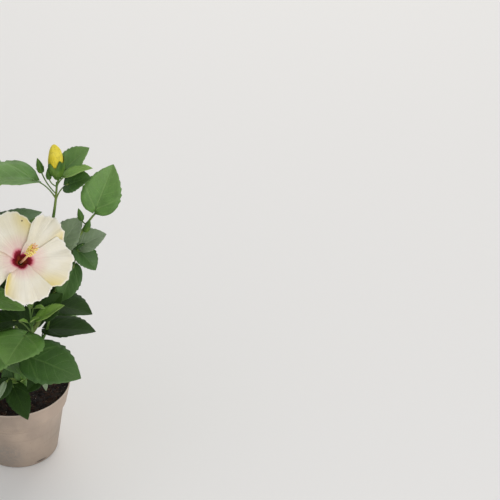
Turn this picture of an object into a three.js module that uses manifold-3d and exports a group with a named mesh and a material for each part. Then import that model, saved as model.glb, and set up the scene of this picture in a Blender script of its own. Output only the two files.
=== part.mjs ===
// Potted hibiscus shrub in a 13 cm nursery pot. Units are millimetres, +Z is up,
// and the origin is the middle of the pot's flat underside. -Y is the plant's front.
import * as THREE from 'three';
import { mergeVertices } from 'three/addons/utils/BufferGeometryUtils.js';
import Module from 'manifold-3d';

const wasm = await Module();
wasm.setup();

// Pot: a thin moulded tub with a wide collar over a narrower lower wall
const POT_HEIGHT = 96;
const POT_RIM_RADIUS = 65;
const POT_COLLAR_FOOT = { radius: 59.3, height: 71 };
const POT_SHOULDER = { radius: 55, height: 63 };
const POT_BASE_RADIUS = 44.5;
const POT_BASE_ROUND = 2.5;
const POT_WALL = 1.6;
const POT_FLOOR = 2;
const POT_SIDES = 36;
const DRAIN_RADIUS = 4;
const DRAIN_RING = 31;
const DRAIN_COUNT = 5;

// Soil: peat filled to a little under the rim, flat where the trunk stands
const SOIL_HEIGHT = 90;
const SOIL_BUMP = 1.6;
const SOIL_FLAT_RADIUS = 11;
const SOIL_RINGS = 5;

// Trunk: short, leaning a little, flared where it meets the soil
const TRUNK_FOOT = [-2, 1];
const TRUNK_TIP = [3, -1, 152];
const TRUNK_FLARE_RADIUS = 8.5;
const TRUNK_RADIUS = 5;
const TRUNK_TIP_RADIUS = 3.6;
const FLARE_SHARE = 0.16;

// Limbs and leaves: radii at foot and tip, and the space that neighbours keep
const CLEAR = 0.3;
const BOUGH_RADIUS = { foot: 3.1, tip: 2 };
const SHOOT_RADIUS = { foot: 1.9, tip: 1.1 };
const TWIG_RADIUS = { foot: 1.3, tip: 0.9 };
const STALK_RADIUS = { foot: 0.95, tip: 0.75 };
const BUD_STALK_RADIUS = 0.9;
const BUD_SIDES = 6;
const BLADE_THICKNESS = 0.9;
const BLADE_COLUMNS = 2;
const BLADE_ROWS = 4;
const ROW_CROWDING = 1.25;
const STALK_IN_BLADE = 4.6;
const LEAF_MARGIN = 0.45;
const SIMPLIFY = 0.05;
const BOUGH_ARCH = { out: 0.55, up: 0.35 };
const CROWN = { middle: [2, 2, 232], reach: [116, 112, 168] };

// Seeded rule: turn from leaf to leaf, pull away from the plant's middle, and the range of
// each measure. In LEAF_BY_AGE it runs from a shoot's youngest leaf to its oldest.
const SPIRAL = 137.5;
const OUTWARD_PULL = { leaf: 0.55, twig: 0.7 };
const LEAF_BY_AGE = { at: [0.96, 0.08], rise: [50, 12], nod: [28, 52], stalk: [12, 26], length: [40, 60] };
const LEAF_BLADE = { width: [0.66, 0.8], fold: [0.1, 0.34], droop: [0.3, 0.75], wave: [0.01, 0.04] };
const TWIG = { foot: [0.2, 0.5], swing: 40, rise: [30, 50], length: [34, 46], lift: 0.25 };
// Turns and tilts that a leaf tries in order until it finds a free place
const TRIES = [
  [0, 0], [18, 8], [-18, -8], [36, 0], [-36, 12], [54, -12], [-54, 16],
  [75, 0], [-75, 0], [95, 14], [-95, 10], [115, -6], [-115, 4],
];

// Bloom: five broad petals, a calyx behind them and a long column of stamens
const BLOOM_EYE = [30, -54, 305];
const BLOOM_AXIS = [0.27, -0.64, 0.72];
// Petals from the upper right on: the turn of each, its length as a share, its angle and
// the rounding of its end to the left and to the right
const PETALS = [
  { turn: 38, share: 1.07, left: 24, right: 32, roundLeft: 0.26, roundRight: 0.24 },
  { turn: 104, share: 1.02, left: 42, right: 44, roundLeft: 0.2, roundRight: 0.24 },
  { turn: 180, share: 1, left: 40, right: 42, roundLeft: 0.2, roundRight: 0.24 },
  { turn: 262, share: 0.91, left: 40, right: 42, roundLeft: 0.1, roundRight: 0.24 },
  { turn: 340, share: 1, left: 41, right: 42, roundLeft: 0.18, roundRight: 0.24 },
];
const PETAL_LENGTH = 59;
const PETAL_FOOT_ANGLE = 62;
const PETAL_THICKNESS = 1.1;
const PETAL_OVERLAP = 1.8;
const PETAL_RUFFLE = 2.5;
const PETAL_COLUMNS = 4;
const PETAL_ROWS = 5;
const THROAT_RADIUS = 2.6;
const THROAT_DEPTH = 13;
const THROAT_OPEN = 18;
const FACE_OPEN = 80;
const TRUMPET_STEPS = 16;
const FACE_SPACE = { depth: 90, foot: 50, tip: 68 };
const COLUMN_BEND = [4, -1, 16];
const COLUMN_TIP = [11, 5, 34];
const COLUMN_RADIUS = { foot: 2.4, tip: 1.5 };
const BRUSH_RADIUS = 2.8;
const CALYX_LENGTH = 20;
const CALYX_RADIUS = 6;
const BLOOM_STALK_BEND = 18;
const BLOOM_STALK_RADIUS = { foot: 1.1, tip: 1.3 };

// Limbs of the crown: a bough's height on the trunk and its tip, then the top of the leafy
// shoot that grows on from it, as [turn, reach, height]. The shoot has as many twigs and
// leaves of the seeded rule as it says, but for the fallen ones, told by their number. A
// leaf or bud that is told apart sits at a share of its shoot: its stalk has [turn, rise,
// length], a blade [turn, pitch, roll] and a bud [turn, pitch], their size is [length,
// width or radius], and bent is [fold, droop].
const BLOOM_LIMB = 'near';
const LIMBS = [
  {
    name: 'top', height: 152, tip: [10, 57, 308], top: [6, 66, 366],
    seed: 221,
    shown: [
      { at: 0.62, stalk: [-177, 49, 31], blade: [-156, 20, -4], size: [68, 48], bent: [0.45, 0.45] },
      { at: 0.9, stalk: [2, 55, 14], blade: [-7, 30, 0], size: [36, 22], bent: [0.3, 0.25] },
      { at: 0.35, stalk: [-22, 66, 39], blade: [-20, 32, 29], size: [34, 30], bent: [0.2, 0.3] },
      { at: 0.8, stalk: [65, 47, 22], blade: [14, 46, 22], size: [40, 32], bent: [0.2, 0.3] },
    ],
    buds: [
      { at: 0.94, stalk: [-60, 60, 8], bud: [130, 86], size: [44, 8] },
      { at: 0.72, stalk: [172, 60, 29], bud: [150, 76], size: [19, 4.6] },
      { at: 0.9, stalk: [-170, 50, 12], bud: [100, 84], size: [15, 3.6] },
    ],
  },
  {
    name: 'top_left', height: 147, tip: [168, 30, 288], top: [178, 34, 350],
    seed: 17, grown: 8, twigs: 1, fallen: [5],
    buds: [
      { at: 0.96, stalk: [-60, 60, 14], bud: [-80, 78], size: [24, 5.5] },
      { at: 0.85, stalk: [150, 45, 18], bud: [170, 70], size: [16, 4] },
    ],
  },
  {
    name: 'right', height: 133, tip: [2, 79, 281], top: [0, 107, 331],
    seed: 23,
    shown: [
      { at: 0.97, stalk: [-77, 69, 6], blade: [27, 65, 57], size: [56, 43], bent: [0.3, 0.2] },
      { at: 0.25, stalk: [-69, -35, 9], blade: [7, 30, 29], size: [33, 28], bent: [0.3, 0.3] },
      { at: 0.05, stalk: [-70, 20, 12], blade: [-31, -26, 14], size: [32, 34], bent: [0.35, 0.6] },
      { at: 0.06, stalk: [-86, -30, 22], blade: [-126, -53, -32], size: [47, 28], bent: [0.3, 0.5] },
      { at: 0.1, stalk: [-151, 1, 22], blade: [31, 49, 18], size: [46, 36], bent: [0.15, 0.3] },
    ],
    buds: [
      { at: 0.66, stalk: [-140, 50, 9], bud: [-170, 80], size: [17, 4] },
      { at: 0.5, stalk: [-60, 10, 7], bud: [-20, 70], size: [19, 4.4] },
    ],
  },
  {
    name: 'left', height: 131, tip: [190, 66, 256], top: [186, 94, 322],
    seed: 31, grown: 12, twigs: 1,
    buds: [{ at: 0.96, stalk: [170, 60, 12], bud: [180, 74], size: [26, 5.6] }],
  },
  {
    name: 'front', height: 119, tip: [-55, 25, 226], top: [-30, 16, 302],
    seed: 366, grown: 4,
    shown: [
      { at: 0.95, stalk: [137, 23, 30], blade: [38, -1, -4], size: [60, 39], bent: [0.1, 0.2] },
    ],
  },
  {
    name: 'near', height: 104, tip: [-59, 52, 162], top: [-54, 53, 243],
    seed: 53,
    shown: [
      { at: 0.74, stalk: [30, 14, 12], blade: [20, 48, 35], size: [36, 28], bent: [0.2, 0.3] },
      { at: 0.55, stalk: [152, 34, 24], blade: [181, -2, -4], size: [38, 36], bent: [0.2, 0.4] },
      { at: 0.68, stalk: [-26, 59, 14], blade: [5, 34, 5], size: [36, 20], bent: [0.25, 0.2] },
      { at: 0.42, stalk: [-128, 63, 19], blade: [-110, 1, -4], size: [50, 58], bent: [0.1, 0.35] },
      { at: 0.12, stalk: [-161, 23, 6], blade: [-26, -2, 22], size: [70, 55], bent: [0.1, 0.3] },
      { at: 0.3, stalk: [-174, 23, 28], blade: [-142, -31, -25], size: [44, 40], bent: [0.2, 0.4] },
    ],
  },
  {
    name: 'front_left', height: 127, tip: [228, 54, 214], top: [224, 80, 282],
    seed: 97, grown: 7, twigs: 1, fallen: [5],
    shown: [
      { at: 0.45, stalk: [-10, 24, 36], blade: [-8, -14, 14], size: [46, 28], bent: [0.2, 0.3] },
    ],
    buds: [{ at: 0.95, stalk: [200, 55, 10], bud: [200, 72], size: [17, 4.2] }],
  },
  {
    name: 'back', height: 141, tip: [100, 56, 262], top: [98, 72, 338],
    seed: 61, grown: 9, twigs: 1, fallen: [2, 3, 4, 5],
  },
  {
    name: 'back_right', height: 124, tip: [62, 58, 208], top: [64, 88, 268],
    seed: 552, grown: 8, twigs: 1, fallen: [1, 7],
  },
  {
    name: 'back_left', height: 122, tip: [140, 60, 206], top: [138, 88, 272],
    seed: 83, grown: 9, twigs: 1,
    buds: [{ at: 0.96, stalk: [120, 50, 11], bud: [130, 74], size: [22, 5] }],
  },
  {
    name: 'low_right', height: 110, tip: [-12, 36, 158], top: [-8, 50, 204],
    seed: 103,
    shown: [
      { at: 0.8, stalk: [-87, 66, 30], blade: [-14, 6, 4], size: [53, 42], bent: [0.25, 0.4] },
      { at: 0.1, stalk: [38, 71, 15], blade: [-10, 10, 2], size: [60, 40], bent: [0.2, 0.25] },
      { at: 0.25, stalk: [62, 24, 24], blade: [54, -18, 6], size: [54, 40], bent: [0.2, 0.5] },
      { at: 0.97, stalk: [70, 40, 18], blade: [40, 20, -8], size: [36, 26], bent: [0.25, 0.5] },
    ],
  },
  {
    name: 'low_left', height: 112, tip: [178, 42, 160], top: [182, 68, 209],
    seed: 109, grown: 7,
  },
  {
    name: 'low_back', height: 115, tip: [96, 40, 156], top: [92, 66, 212],
    seed: 127, grown: 6,
  },
  {
    name: 'low_front_left', height: 106, tip: [216, 36, 146], top: [214, 60, 196],
    seed: 131, grown: 7,
  },
  {
    name: 'foot', height: 101, tip: [-70, 16, 104], top: [-72, 34, 117],
    seed: 113,
    shown: [
      { at: 0.95, stalk: [-151, 25, 10], blade: [-63, -19, 13], size: [48, 27], bent: [0.2, 0.35] },
      { at: 0.6, stalk: [3, 25, 26], blade: [-130, -18, -23], size: [23, 18], bent: [0.2, 0.3] },
      { at: 0.8, stalk: [-128, 49, 25], blade: [-129, -39, -28], size: [29, 19], bent: [0.2, 0.3] },
    ],
  },
];

const Z = new THREE.Vector3(0, 0, 1);
const { degToRad: rad, radToDeg: deg, lerp, smoothstep } = THREE.MathUtils;
const vec = (p) => new THREE.Vector3(...p);
const bend = (from, corner, to) => new THREE.QuadraticBezierCurve3(from, corner, to);

// Direction from a turn about +Z (0 is +X, 90 is +Y) and a rise above the level
function way(turn, rise) {
  const level = Math.cos(rad(rise));
  return vec([level * Math.cos(rad(turn)), level * Math.sin(rad(turn)), Math.sin(rad(rise))]);
}

// Point given by its turn and reach from the pot's axis and its height
function polar([turn, reach, height]) {
  return way(turn, 0).multiplyScalar(reach).setZ(height);
}

// Even random numbers from a seed, the same in every run
function seeded(seed) {
  let state = seed;
  return (low, high) => {
    state = (Math.imul(state, 1664525) + 1013904223) >>> 0;
    return low + ((high - low) * state) / 2 ** 32;
  };
}

// A closed geometry with its corners merged, so that it is one surface
function welded(geometry) {
  geometry.deleteAttribute('normal');
  geometry.deleteAttribute('uv');
  return mergeVertices(geometry, 1e-4);
}

// A welded geometry as a solid that can be joined and cut
function solid(geometry) {
  return new wasm.Manifold(new wasm.Mesh({
    numProp: 3,
    vertProperties: geometry.attributes.position.array,
    triVerts: new Uint32Array(geometry.index.array),
  }));
}

// The joined solids' one body: sealed hollows are filled and loose scraps dropped
function joined(parts) {
  const bodies = wasm.Manifold.union(parts).simplify(SIMPLIFY).decompose();
  return bodies.reduce((best, body) => (body.volume() > best.volume() ? body : best));
}

function lathe(profile, sides) {
  const points = profile.map(([radius, height]) => new THREE.Vector2(radius, height));
  return welded(new THREE.LatheGeometry(points, sides)).rotateX(Math.PI / 2);
}

// Moves each point of a geometry to where a formula puts it
function reshape(geometry, formula) {
  const spot = geometry.attributes.position;
  for (let i = 0; i < spot.count; i += 1) {
    const point = formula(spot.getX(i), spot.getY(i), spot.getZ(i));
    spot.setXYZ(i, point.x, point.y, point.z);
  }
  return geometry;
}

// A round limb along a curve, with flat ends square to it. No limb runs along LIMB_SIDE,
// so that each can be framed with it.
const LIMB_SIDE = vec([0.31, -0.89, -0.34]).normalize();

function limb(curve, radiusAt, sides, steps) {
  const tube = welded(new THREE.CylinderGeometry(1, 1, 1, sides, steps));
  return solid(reshape(tube, (x, y, z) => {
    const along = y + 0.5;
    const radius = radiusAt(along);
    const tangent = curve.getTangent(along);
    const side = new THREE.Vector3().crossVectors(tangent, LIMB_SIDE).normalize();
    const front = new THREE.Vector3().crossVectors(tangent, side);
    return curve.getPoint(along).addScaledVector(side, x * radius).addScaledVector(front, -z * radius);
  }));
}

// Radius that tapers from foot to tip, and more by a margin
function taper({ foot, tip }, margin = 0) {
  return (along) => lerp(foot, tip, along) + margin;
}

// Pot with its collar, and drain holes through its floor
function potSolid() {
  const collar = POT_COLLAR_FOOT;
  const shoulder = POT_SHOULDER;
  const tub = solid(lathe([
    [0, 0],
    [POT_BASE_RADIUS - POT_BASE_ROUND, 0],
    [POT_BASE_RADIUS, POT_BASE_ROUND],
    [shoulder.radius, shoulder.height],
    [collar.radius, collar.height],
    [POT_RIM_RADIUS, POT_HEIGHT - 1],
    [POT_RIM_RADIUS - POT_WALL / 2, POT_HEIGHT],
    [POT_RIM_RADIUS - POT_WALL, POT_HEIGHT - 1],
    [collar.radius - POT_WALL, collar.height + 0.5],
    [shoulder.radius - POT_WALL, shoulder.height + 0.5],
    [POT_BASE_RADIUS + 0.2 - POT_WALL, POT_FLOOR],
    [0, POT_FLOOR],
  ], POT_SIDES));
  const drains = [];
  for (let i = 0; i < DRAIN_COUNT; i += 1) {
    const drain = welded(new THREE.CylinderGeometry(DRAIN_RADIUS, DRAIN_RADIUS, 3 * POT_FLOOR, 8));
    const { x, y } = way((360 / DRAIN_COUNT) * i, 0).multiplyScalar(DRAIN_RING);
    drains.push(solid(drain.rotateX(Math.PI / 2).translate(x, y, 0)));
  }
  return tub.subtract(wasm.Manifold.union(drains));
}

// Height of the soil's uneven top
function soilTop(x, y) {
  const reach = Math.hypot(x - TRUNK_FOOT[0], y - TRUNK_FOOT[1]);
  const rough = smoothstep(reach, SOIL_FLAT_RADIUS, 2 * SOIL_FLAT_RADIUS);
  const lumps = Math.sin(x / 9 + 1) * Math.cos(y / 11) - 0.4 * Math.sin((x + y) / 6);
  return SOIL_HEIGHT + SOIL_BUMP * rough * lumps;
}

function soilSolid() {
  const gap = POT_WALL + CLEAR;
  const edge = lerp(POT_COLLAR_FOOT.radius, POT_RIM_RADIUS, 0.66) - gap;
  const profile = [
    [0, POT_FLOOR + CLEAR],
    [POT_BASE_RADIUS - gap, POT_FLOOR + CLEAR],
    [POT_SHOULDER.radius - gap, POT_SHOULDER.height + 0.6],
    [POT_COLLAR_FOOT.radius - gap, POT_COLLAR_FOOT.height + 0.6],
  ];
  for (let i = 0; i <= SOIL_RINGS; i += 1) profile.push([edge * (1 - i / SOIL_RINGS), SOIL_HEIGHT]);
  const isTop = (z) => z > SOIL_HEIGHT - 1;
  return solid(reshape(lathe(profile, POT_SIDES), (x, y, z) => vec([x, y, isTop(z) ? soilTop(x, y) : z])));
}

// Trunk: its curve from the soil to the tip, and its flared radius
const trunkFoot = vec([...TRUNK_FOOT, SOIL_HEIGHT + CLEAR]);
const trunkCorner = vec([...TRUNK_FOOT, lerp(SOIL_HEIGHT, TRUNK_TIP[2], 0.5)]);
const trunkCurve = bend(trunkFoot, trunkCorner, vec(TRUNK_TIP));

function trunkSolid(margin) {
  const flare = (along) => (TRUNK_FLARE_RADIUS - TRUNK_RADIUS) * Math.max(0, 1 - along / FLARE_SHARE) ** 2;
  const radiusAt = (along) => lerp(TRUNK_RADIUS, TRUNK_TIP_RADIUS, along) + flare(along) + margin;
  return limb(trunkCurve, radiusAt, 12, 10);
}

// Blade half-width as a share of the widest, from its foot (0) to its tip (1)
function bladeShape(along) {
  const shape = (s) => s ** 0.5 * (1 - s) ** 0.9;
  return shape(along) / shape(0.5 / 1.4);
}

// A point of a leaf blade in its own frame: x across, y to the tip, z up. The blade is
// folded on its midrib, droops along an arc and is wavy at the edge.
function bladePoint(leaf, across, along, lift) {
  const x = across * Math.max(0.7, (leaf.width / 2) * bladeShape(along));
  const lobe = 0.1 * leaf.width * across * across * (1 - along) ** 4;
  const reach = leaf.length * along - lobe;
  const edge = across * across * Math.sin(Math.PI * along);
  const wave = leaf.wave * leaf.length * Math.sin(9 * along + leaf.phase) * edge;
  const height = leaf.fold * Math.abs(x) + wave + lift;
  const angle = (leaf.droop * reach) / leaf.length;
  const arc = leaf.length / leaf.droop;
  const y = (arc + height) * Math.sin(angle);
  return vec([x, y, (arc + height) * Math.cos(angle) - arc]);
}

// Where a leaf sits: its stalk's foot, its blade's foot and the blade's frame
function leafPlace(leaf) {
  const root = leaf.curve.getPoint(leaf.at);
  const foot = root.clone().addScaledVector(way(leaf.turn, leaf.rise), leaf.stalk);
  const ahead = way(leaf.aim, leaf.pitch);
  const up = way(leaf.aim, leaf.pitch + 90).applyAxisAngle(ahead, rad(leaf.roll));
  const right = new THREE.Vector3().crossVectors(ahead, up);
  const frame = new THREE.Matrix4().makeBasis(right, ahead, up).setPosition(foot);
  return { root, foot, ahead, frame };
}

function bladeSolid(leaf, margin) {
  const grown = { ...leaf, width: leaf.width + 2 * margin };
  const { frame } = leafPlace(leaf);
  const sheet = new THREE.BoxGeometry(2, 1, BLADE_THICKNESS + 2 * margin, BLADE_COLUMNS, BLADE_ROWS, 1);
  return solid(reshape(welded(sheet), (x, y, z) => (
    bladePoint(grown, x, (y + 0.5) ** ROW_CROWDING, z).applyMatrix4(frame)
  )));
}

function stalkSolid(leaf, margin) {
  const { root, foot, ahead } = leafPlace(leaf);
  const corner = foot.clone().addScaledVector(ahead, -0.35 * leaf.stalk);
  const end = foot.clone().addScaledVector(ahead, STALK_IN_BLADE);
  return limb(bend(root, corner, end), taper(STALK_RADIUS, margin), 3, 2);
}

// A bud and its stalk
function budSolids(shoot, { at, stalk, bud, size: [length, radius] }) {
  const shape = lathe([
    [0, 0],
    [radius * 0.72, length * 0.08],
    [radius, length * 0.34],
    [radius * 0.86, length * 0.66],
    [radius * 0.3, length * 0.94],
    [0, length],
  ], BUD_SIDES);
  const root = shoot.getPoint(at);
  const reach = stalk[2];
  const foot = root.clone().addScaledVector(way(stalk[0], stalk[1]), reach);
  const ahead = way(...bud);
  const turned = new THREE.Quaternion().setFromUnitVectors(Z, ahead);
  shape.applyQuaternion(turned).translate(foot.x, foot.y, foot.z);
  const corner = foot.clone().addScaledVector(ahead, -0.4 * reach);
  const end = foot.clone().addScaledVector(ahead, 0.3 * length);
  return [solid(shape), limb(bend(root, corner, end), () => BUD_STALK_RADIUS, 4, 3)];
}

// Bloom's own frame: right and up across its face, and out along its axis from the eye
const bloomAxis = vec(BLOOM_AXIS).normalize();
const bloomUp = Z.clone().addScaledVector(bloomAxis, -Z.dot(bloomAxis)).normalize();
const bloomRight = new THREE.Vector3().crossVectors(bloomUp, bloomAxis);

function bloomPoint(right, up, out) {
  const point = vec(BLOOM_EYE).addScaledVector(bloomRight, right);
  return point.addScaledVector(bloomUp, up).addScaledVector(bloomAxis, out);
}

// Reach and rise of the petals' trumpet at a share of their length: a narrow throat
// that opens to a nearly flat face
function trumpet(along) {
  const step = (along * PETAL_LENGTH) / TRUMPET_STEPS;
  let reach = THROAT_RADIUS;
  let out = -THROAT_DEPTH;
  for (let i = 0; i < TRUMPET_STEPS; i += 1) {
    const share = (along * (i + 0.5)) / TRUMPET_STEPS;
    const open = rad(lerp(THROAT_OPEN, FACE_OPEN, smoothstep(share, 0, 0.42)) + 10 * share);
    reach += Math.sin(open) * step;
    out += Math.cos(open) * step;
  }
  return [reach, out];
}

// One petal: a patch of the trumpet with a round end, ruffled, its left side over the next
function petalSolid({ turn, share, left, right, roundLeft, roundRight }, index) {
  const sheet = new THREE.BoxGeometry(2, 1, PETAL_THICKNESS, PETAL_COLUMNS, PETAL_ROWS, 1);
  return solid(reshape(welded(sheet), (across, y, z) => {
    const rounding = across < 0 ? roundLeft : roundRight;
    const along = (y + 0.5) * (1 - rounding * Math.abs(across) ** 2.5);
    const [reach, out] = trumpet(along * share);
    const half = lerp(PETAL_FOOT_ANGLE, across < 0 ? left : right, Math.min(1, along / 0.4));
    const angle = rad(turn - across * half);
    const ruffle = PETAL_RUFFLE * Math.sin(5 * across + 2.1 * index) * along ** 3;
    const lift = ruffle + z - PETAL_OVERLAP * across * Math.min(1, along / 0.3);
    return bloomPoint(reach * Math.cos(angle), reach * Math.sin(angle), out + lift);
  }));
}

// The space before the bloom's face, where no leaf grows
function faceSpace() {
  const { depth } = FACE_SPACE;
  const axis = bend(bloomPoint(0, 0, 8), bloomPoint(0, 0, depth / 2), bloomPoint(0, 0, depth));
  return limb(axis, taper(FACE_SPACE), 12, 1);
}

// Bloom: petals, column of stamens, calyx and the stalk that stands on its shoot's tip
function bloomSolid(shoot) {
  const columnFoot = bloomPoint(0, 0, -THROAT_DEPTH);
  const column = bend(columnFoot, bloomPoint(...COLUMN_BEND), bloomPoint(...COLUMN_TIP));
  const brush = (along) => smoothstep(along, 0.5, 0.62) * (1 - smoothstep(along, 0.86, 0.95));
  const columnRadius = (along) => taper(COLUMN_RADIUS)(along) + BRUSH_RADIUS * brush(along);
  const back = -THROAT_DEPTH - CALYX_LENGTH / 2;
  const front = back + CALYX_LENGTH;
  const calyx = bend(bloomPoint(0, 0, back), bloomPoint(0, 0, back / 2), bloomPoint(0, 0, front));
  const calyxRadius = (along) => CALYX_RADIUS * Math.sqrt(Math.sin(Math.PI * lerp(0.12, 0.72, along)));
  const foot = shoot.getPoint(1).addScaledVector(shoot.getTangent(1), CLEAR);
  const stalk = bend(foot, bloomPoint(0, 0, back - BLOOM_STALK_BEND), bloomPoint(0, 0, back + 3));
  return joined([
    ...PETALS.map(petalSolid),
    limb(column, columnRadius, 7, 12),
    limb(calyx, calyxRadius, 10, 5),
    limb(stalk, taper(BLOOM_STALK_RADIUS), 6, 6),
  ]);
}

// Share of the trunk's curve at a height
function trunkShare(height) {
  let share = 0;
  while (share < 1 && trunkCurve.getPoint(share).z < height) share += 0.005;
  return Math.min(share, 1);
}

// Bough curve out of the trunk and the shoot curve that grows on from its tip
function limbCurves(plan) {
  const start = trunkCurve.getPoint(trunkShare(plan.height));
  const tip = polar(plan.tip);
  const corner = new THREE.Vector3().lerpVectors(start, tip, BOUGH_ARCH.out);
  corner.z = lerp(start.z, tip.z, BOUGH_ARCH.up);
  const ahead = new THREE.Vector3().subVectors(tip, corner).normalize();
  const foot = tip.clone().addScaledVector(ahead, CLEAR);
  const top = polar(plan.top);
  const shootCorner = foot.clone().addScaledVector(ahead, 0.5 * foot.distanceTo(top));
  return { bough: bend(start, corner, tip), shoot: bend(foot, shootCorner, top) };
}

// Turn of a direction once it is drawn outwards, away from the plant's middle
function outward(turn, point, pull) {
  const side = way(turn, 0).addScaledVector(vec([point.x, point.y, 0]).normalize(), pull);
  return deg(Math.atan2(side.y, side.x));
}

// Seeded rule for one side twig
function grownTwig(shoot, share, turn, random) {
  const from = shoot.getPoint(lerp(...TWIG.foot, share));
  const swung = outward(turn + random(-TWIG.swing, TWIG.swing), from, OUTWARD_PULL.twig);
  const ahead = way(swung, random(...TWIG.rise));
  const length = random(...TWIG.length);
  const corner = from.clone().addScaledVector(ahead, 0.5 * length);
  const tip = corner.clone().addScaledVector(ahead, 0.35 * length).addScaledVector(Z, TWIG.lift * length);
  return bend(from, corner, tip);
}

// Seeded rule for one leaf: the older it is, the larger and the more it hangs
function grownLeaf(curve, at, age, turn, random) {
  const aged = (range) => lerp(...range, age);
  const swung = outward(turn + random(-12, 12), curve.getPoint(at), OUTWARD_PULL.leaf);
  const rise = aged(LEAF_BY_AGE.rise) + random(-8, 8);
  const length = aged(LEAF_BY_AGE.length) + random(-4, 5);
  return {
    curve, at, rise, length,
    turn: swung,
    aim: swung,
    stalk: aged(LEAF_BY_AGE.stalk) + random(-3, 3),
    pitch: rise - aged(LEAF_BY_AGE.nod) + random(-10, 10),
    roll: random(-20, 20),
    width: length * random(...LEAF_BLADE.width),
    fold: random(...LEAF_BLADE.fold),
    droop: random(...LEAF_BLADE.droop),
    wave: random(...LEAF_BLADE.wave),
    phase: random(0, 6),
  };
}

// Seeded rule for a mass: side twigs along its shoot, then leaves in a spiral, every
// third of them on a twig; those that have fallen are left off
function growth(plan, shoot) {
  const random = seeded(plan.seed);
  const start = random(0, 360);
  const twigs = [];
  for (let i = 0; i < plan.twigs; i += 1) {
    twigs.push(grownTwig(shoot, (i + 0.5) / plan.twigs, start + 180 * i, random));
  }
  const leaves = [];
  for (let i = 0; i < plan.grown; i += 1) {
    const onTwig = twigs.length > 0 && i % 3 === 2;
    const curve = onTwig ? twigs[i % twigs.length] : shoot;
    const age = onTwig ? random(0.1, 0.8) : 1 - (i + 0.5) / plan.grown;
    const at = onTwig ? lerp(0.95, 0.35, age) : lerp(...LEAF_BY_AGE.at, age);
    leaves.push(grownLeaf(curve, at, age, start + SPIRAL * i, random));
  }
  return { twigs, leaves: leaves.filter((leaf, i) => !plan.fallen.includes(i)) };
}

// A leaf from its row in the table of limbs
function shownLeaf(curve, { at, stalk, blade, size, bent }) {
  return {
    curve, at,
    turn: stalk[0],
    rise: stalk[1],
    stalk: stalk[2],
    aim: blade[0],
    pitch: blade[1],
    roll: blade[2],
    length: size[0],
    width: size[1],
    fold: bent[0],
    droop: bent[1],
    wave: 0.02,
    phase: 1,
  };
}

// What is placed so far, each part of a node with its bounds
const placed = [];

function place(node, ...parts) {
  for (const part of parts) placed.push({ node, part, bounds: part.boundingBox() });
}

// Whether a solid is clear of all that is placed, or of all but one node
function isClear(shape, except) {
  const box = shape.boundingBox();
  return !placed.some(({ node, part, bounds }) => {
    const apart = [0, 1, 2].some((k) => bounds.min[k] > box.max[k] || bounds.max[k] < box.min[k]);
    return node !== except && !apart && part.intersect(shape).volume() > 1e-4;
  });
}

// Whether a leaf's blade, but for one node, and its stalk are clear
function isFree(node, leaf, except) {
  return isClear(bladeSolid(leaf, LEAF_MARGIN), except) && isClear(stalkSolid(leaf, LEAF_MARGIN), node);
}

function placeLeaf(node, leaf) {
  place(node, bladeSolid(leaf, 0), stalkSolid(leaf, 0));
}

// Whether a leaf's tip and sides stay inside the crown's dome
function inCrown(leaf) {
  const { frame } = leafPlace(leaf);
  return [[0, 1], [-1, 0.4], [1, 0.4]].every(([across, along]) => {
    const point = bladePoint(leaf, across, along, 0).applyMatrix4(frame).sub(vec(CROWN.middle));
    return point.divide(vec(CROWN.reach)).lengthSq() < 1;
  });
}

// Places a leaf of the rule where it is first free, or leaves it out
function growLeaf(node, leaf, bloomFace) {
  for (const [turn, tilt] of TRIES) {
    const tried = { ...leaf, turn: leaf.turn + turn, aim: leaf.aim + turn, pitch: leaf.pitch + tilt };
    const hidesBloom = bladeSolid(tried, 0).intersect(bloomFace).volume() > 0;
    if (inCrown(tried) && !hidesBloom && isFree(node, tried, null)) {
      placeLeaf(node, tried);
      return;
    }
  }
}

place('pot', potSolid());
place('soil', soilSolid());
place('trunk', trunkSolid(0));

const crown = LIMBS.map((row) => {
  const plan = { grown: 0, twigs: 0, fallen: [], shown: [], buds: [], ...row };
  return { ...plan, ...limbCurves(plan), node: `leaves_${plan.name}` };
});

// Boughs are cut clear of the trunk and of the boughs already on it
const boughSpaces = [trunkSolid(CLEAR)];
for (const { name, bough } of crown) {
  const whole = limb(bough, taper(BOUGH_RADIUS), 7, 5);
  place(`bough_${name}`, joined([whole.subtract(wasm.Manifold.union(boughSpaces))]));
  boughSpaces.push(limb(bough, taper(BOUGH_RADIUS, CLEAR), 7, 5));
}

// Shoots, the bloom, twigs and buds come before the leaves that fit round them
for (const { node, shoot } of crown) place(node, limb(shoot, taper(SHOOT_RADIUS), 5, 5));
place('bloom', bloomSolid(crown.find(({ name }) => name === BLOOM_LIMB).shoot));
for (const mass of crown) {
  const { twigs, leaves } = growth(mass, mass.shoot);
  const bare = twigs.filter((twig) => !isClear(limb(twig, taper(TWIG_RADIUS, CLEAR), 5, 4), mass.node));
  for (const twig of twigs) {
    if (!bare.includes(twig)) place(mass.node, limb(twig, taper(TWIG_RADIUS), 5, 4));
  }
  mass.leaves = leaves.filter(({ curve }) => !bare.includes(curve));
  for (const bud of mass.buds) place(mass.node, ...budSolids(mass.shoot, bud));
}

// Leaves told apart may meet others of their mass
for (const { node, shoot, shown } of crown) {
  for (const row of shown) {
    const leaf = shownLeaf(shoot, row);
    if (isFree(node, leaf, node)) placeLeaf(node, leaf);
  }
}

// Leaves of the rule are placed one of each mass in turn
const bloomFace = faceSpace();
const mostLeaves = Math.max(...crown.map(({ leaves }) => leaves.length));
for (let i = 0; i < mostLeaves; i += 1) {
  for (const { node, leaves } of crown) {
    if (leaves[i]) growLeaf(node, leaves[i], bloomFace);
  }
}

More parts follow.
